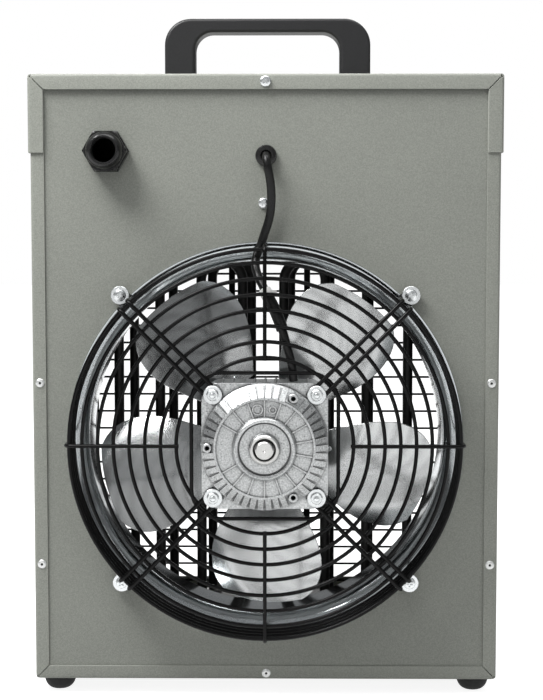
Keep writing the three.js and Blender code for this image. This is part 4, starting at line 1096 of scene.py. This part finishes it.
sleeve = stretch(SLEEVE_LOW, TIE_LOW)
piece("lead_sleeve", tube(sleeve, CABLE + 1.4, 20), cable_jacket, sharp=50)
tie = stretch(TIE_LOW, TIE_HIGH)
tie_parts = [tube(tie, CABLE + 1.7, 20)]
lock_x, lock_y, lock_z = tie[len(tie) // 2]
lock = rectangle(lock_x + 3, lock_z - 2.6, lock_x + 9, lock_z + 2.6)
tie_parts.append(prism(lock, lock_y - 4, lock_y + 1.5))
piece("lead_tie", join(*tie_parts), tie_nylon, sharp=50)

# ---- Controls -----------------------------------------------------------------------------------
# Two black knobs turn on the front panel, over a switch and a thermostat screwed behind it. Printed marks
# round each knob show its settings, and a terminal block stands on the shelf.
control_plastic = finish("control_plastic", (0.02, 0.02, 0.021), (0.04, 0.04, 0.042), (0.4, 0.55), 0.0, 700,
                         0.02)
knob_plastic = finish("knob_plastic", (0.01, 0.01, 0.011), (0.022, 0.022, 0.023), (0.3, 0.42), 0.0, 1300,
                      0.015, wear_and_highlight=((0.06, 0.06, 0.06), 0.6, 0.5))
print_white = finish("print_white", (0.75, 0.75, 0.73), (0.85, 0.85, 0.84), (0.4, 0.5), 0.0, 900, 0.004)
keep("mode_switch", control_plastic, edge=1.0)
keep("thermostat", control_plastic, edge=1.0)
keep("terminal_block", control_plastic, edge=0.4)

front = corners("front_panel")[1].y


def numeral(text, x, z, size):
    """A printed number on the front panel, read from the front."""
    words = bpy.data.curves.new("numeral", "FONT")
    words.body = text
    words.size = size
    words.extrude = 0.06
    words.align_x = "CENTER"
    words.align_y = "CENTER"
    carrier = bpy.data.objects.new("numeral", words)
    bpy.context.scene.collection.objects.link(carrier)
    made = carrier.evaluated_get(bpy.context.evaluated_depsgraph_get()).to_mesh()
    points = [(x - v.co.x, front + 0.1 + v.co.z, z + v.co.y) for v in made.vertices]
    faces = [tuple(f.vertices) for f in made.polygons]
    bpy.data.objects.remove(carrier)
    return points, faces


NUMERAL_OUT, NUMERAL_SIZE = 29, 6.5
DOTS_OUT = (23, 23.8)
KNOB_GAP, KNOB_HEIGHT = 1, 20
GRIPS = 24
dot = [(r, front + 0.05 + y) for r, y in ((0, 0), (0.55, 0), (0.55, 0.14), (0, 0.14))]
marks = []
for knob_node, body_name, angles, texts in (
    ("mode_knob", "mode_selector", (0, 45, 90, 135), "0123"),
    ("thermostat_knob", "thermostat_dial", (-135, -90, -45, 0, 45, 90, 135), "0123456"),
):
    low, high = corners(knob_node)
    x, radius = (low.x + high.x) / 2, (high.x - low.x) / 2
    z = (low.z + high.z) / 2
    face = front + KNOB_GAP
    top = face + KNOB_HEIGHT
    for angle, text in zip(angles, texts):
        left, up = -math.sin(math.radians(angle)), math.cos(math.radians(angle))
        marks.append(numeral(text, x + NUMERAL_OUT * left, z + NUMERAL_OUT * up, NUMERAL_SIZE))
        for reach in DOTS_OUT:
            marks.append(turned(dot, 12, x + reach * left, z + reach * up))
    outline = [(0, face), (radius - 0.6, face), (radius, face + 0.6), (radius, face + 3)]
    outline += [(radius - 0.8, face + 4), (radius - 3.6, face + 4.2), (radius - 4.4, face + 5)]
    outline += [(radius - 5.6, top - 1.4), (radius - 6.6, top), (6, top), (5, top - 0.6), (0, top - 0.6)]
    parts = [turned(outline, 96, x, z)]
    rib = [(0, face + 4.5), (1.0, face + 4.5), (0.8, top - 1.8), (0, top - 1.4)]
    reach = radius - 4.7
    for i in range(GRIPS):
        turn = 2 * math.pi * i / GRIPS
        parts.append(turned(rib, 12, x + reach * math.sin(turn), z + reach * math.cos(turn)))
    stem = [(0, front - 14), (2.6, front - 14), (3, front - 13.6), (3, face + 1), (0, face + 1)]
    parts.append(turned(stem, 32, x, z))
    piece(knob_node.replace("_knob", "_turn_knob"), join(*parts), knob_plastic, [knob_node],
          body=body_name, sharp=30)
    pointer = prism(rectangle(x - 1, z + 3, x + 1, z + radius - 6.8), top - 0.4, top + 0.7)
    pointer_name = knob_node.replace("_knob", "_pointer")
    line_mark = piece(pointer_name, pointer, print_white, body=body_name)
    round_edges(line_mark, 0.25)
piece("dial_marks", join(*marks), print_white)
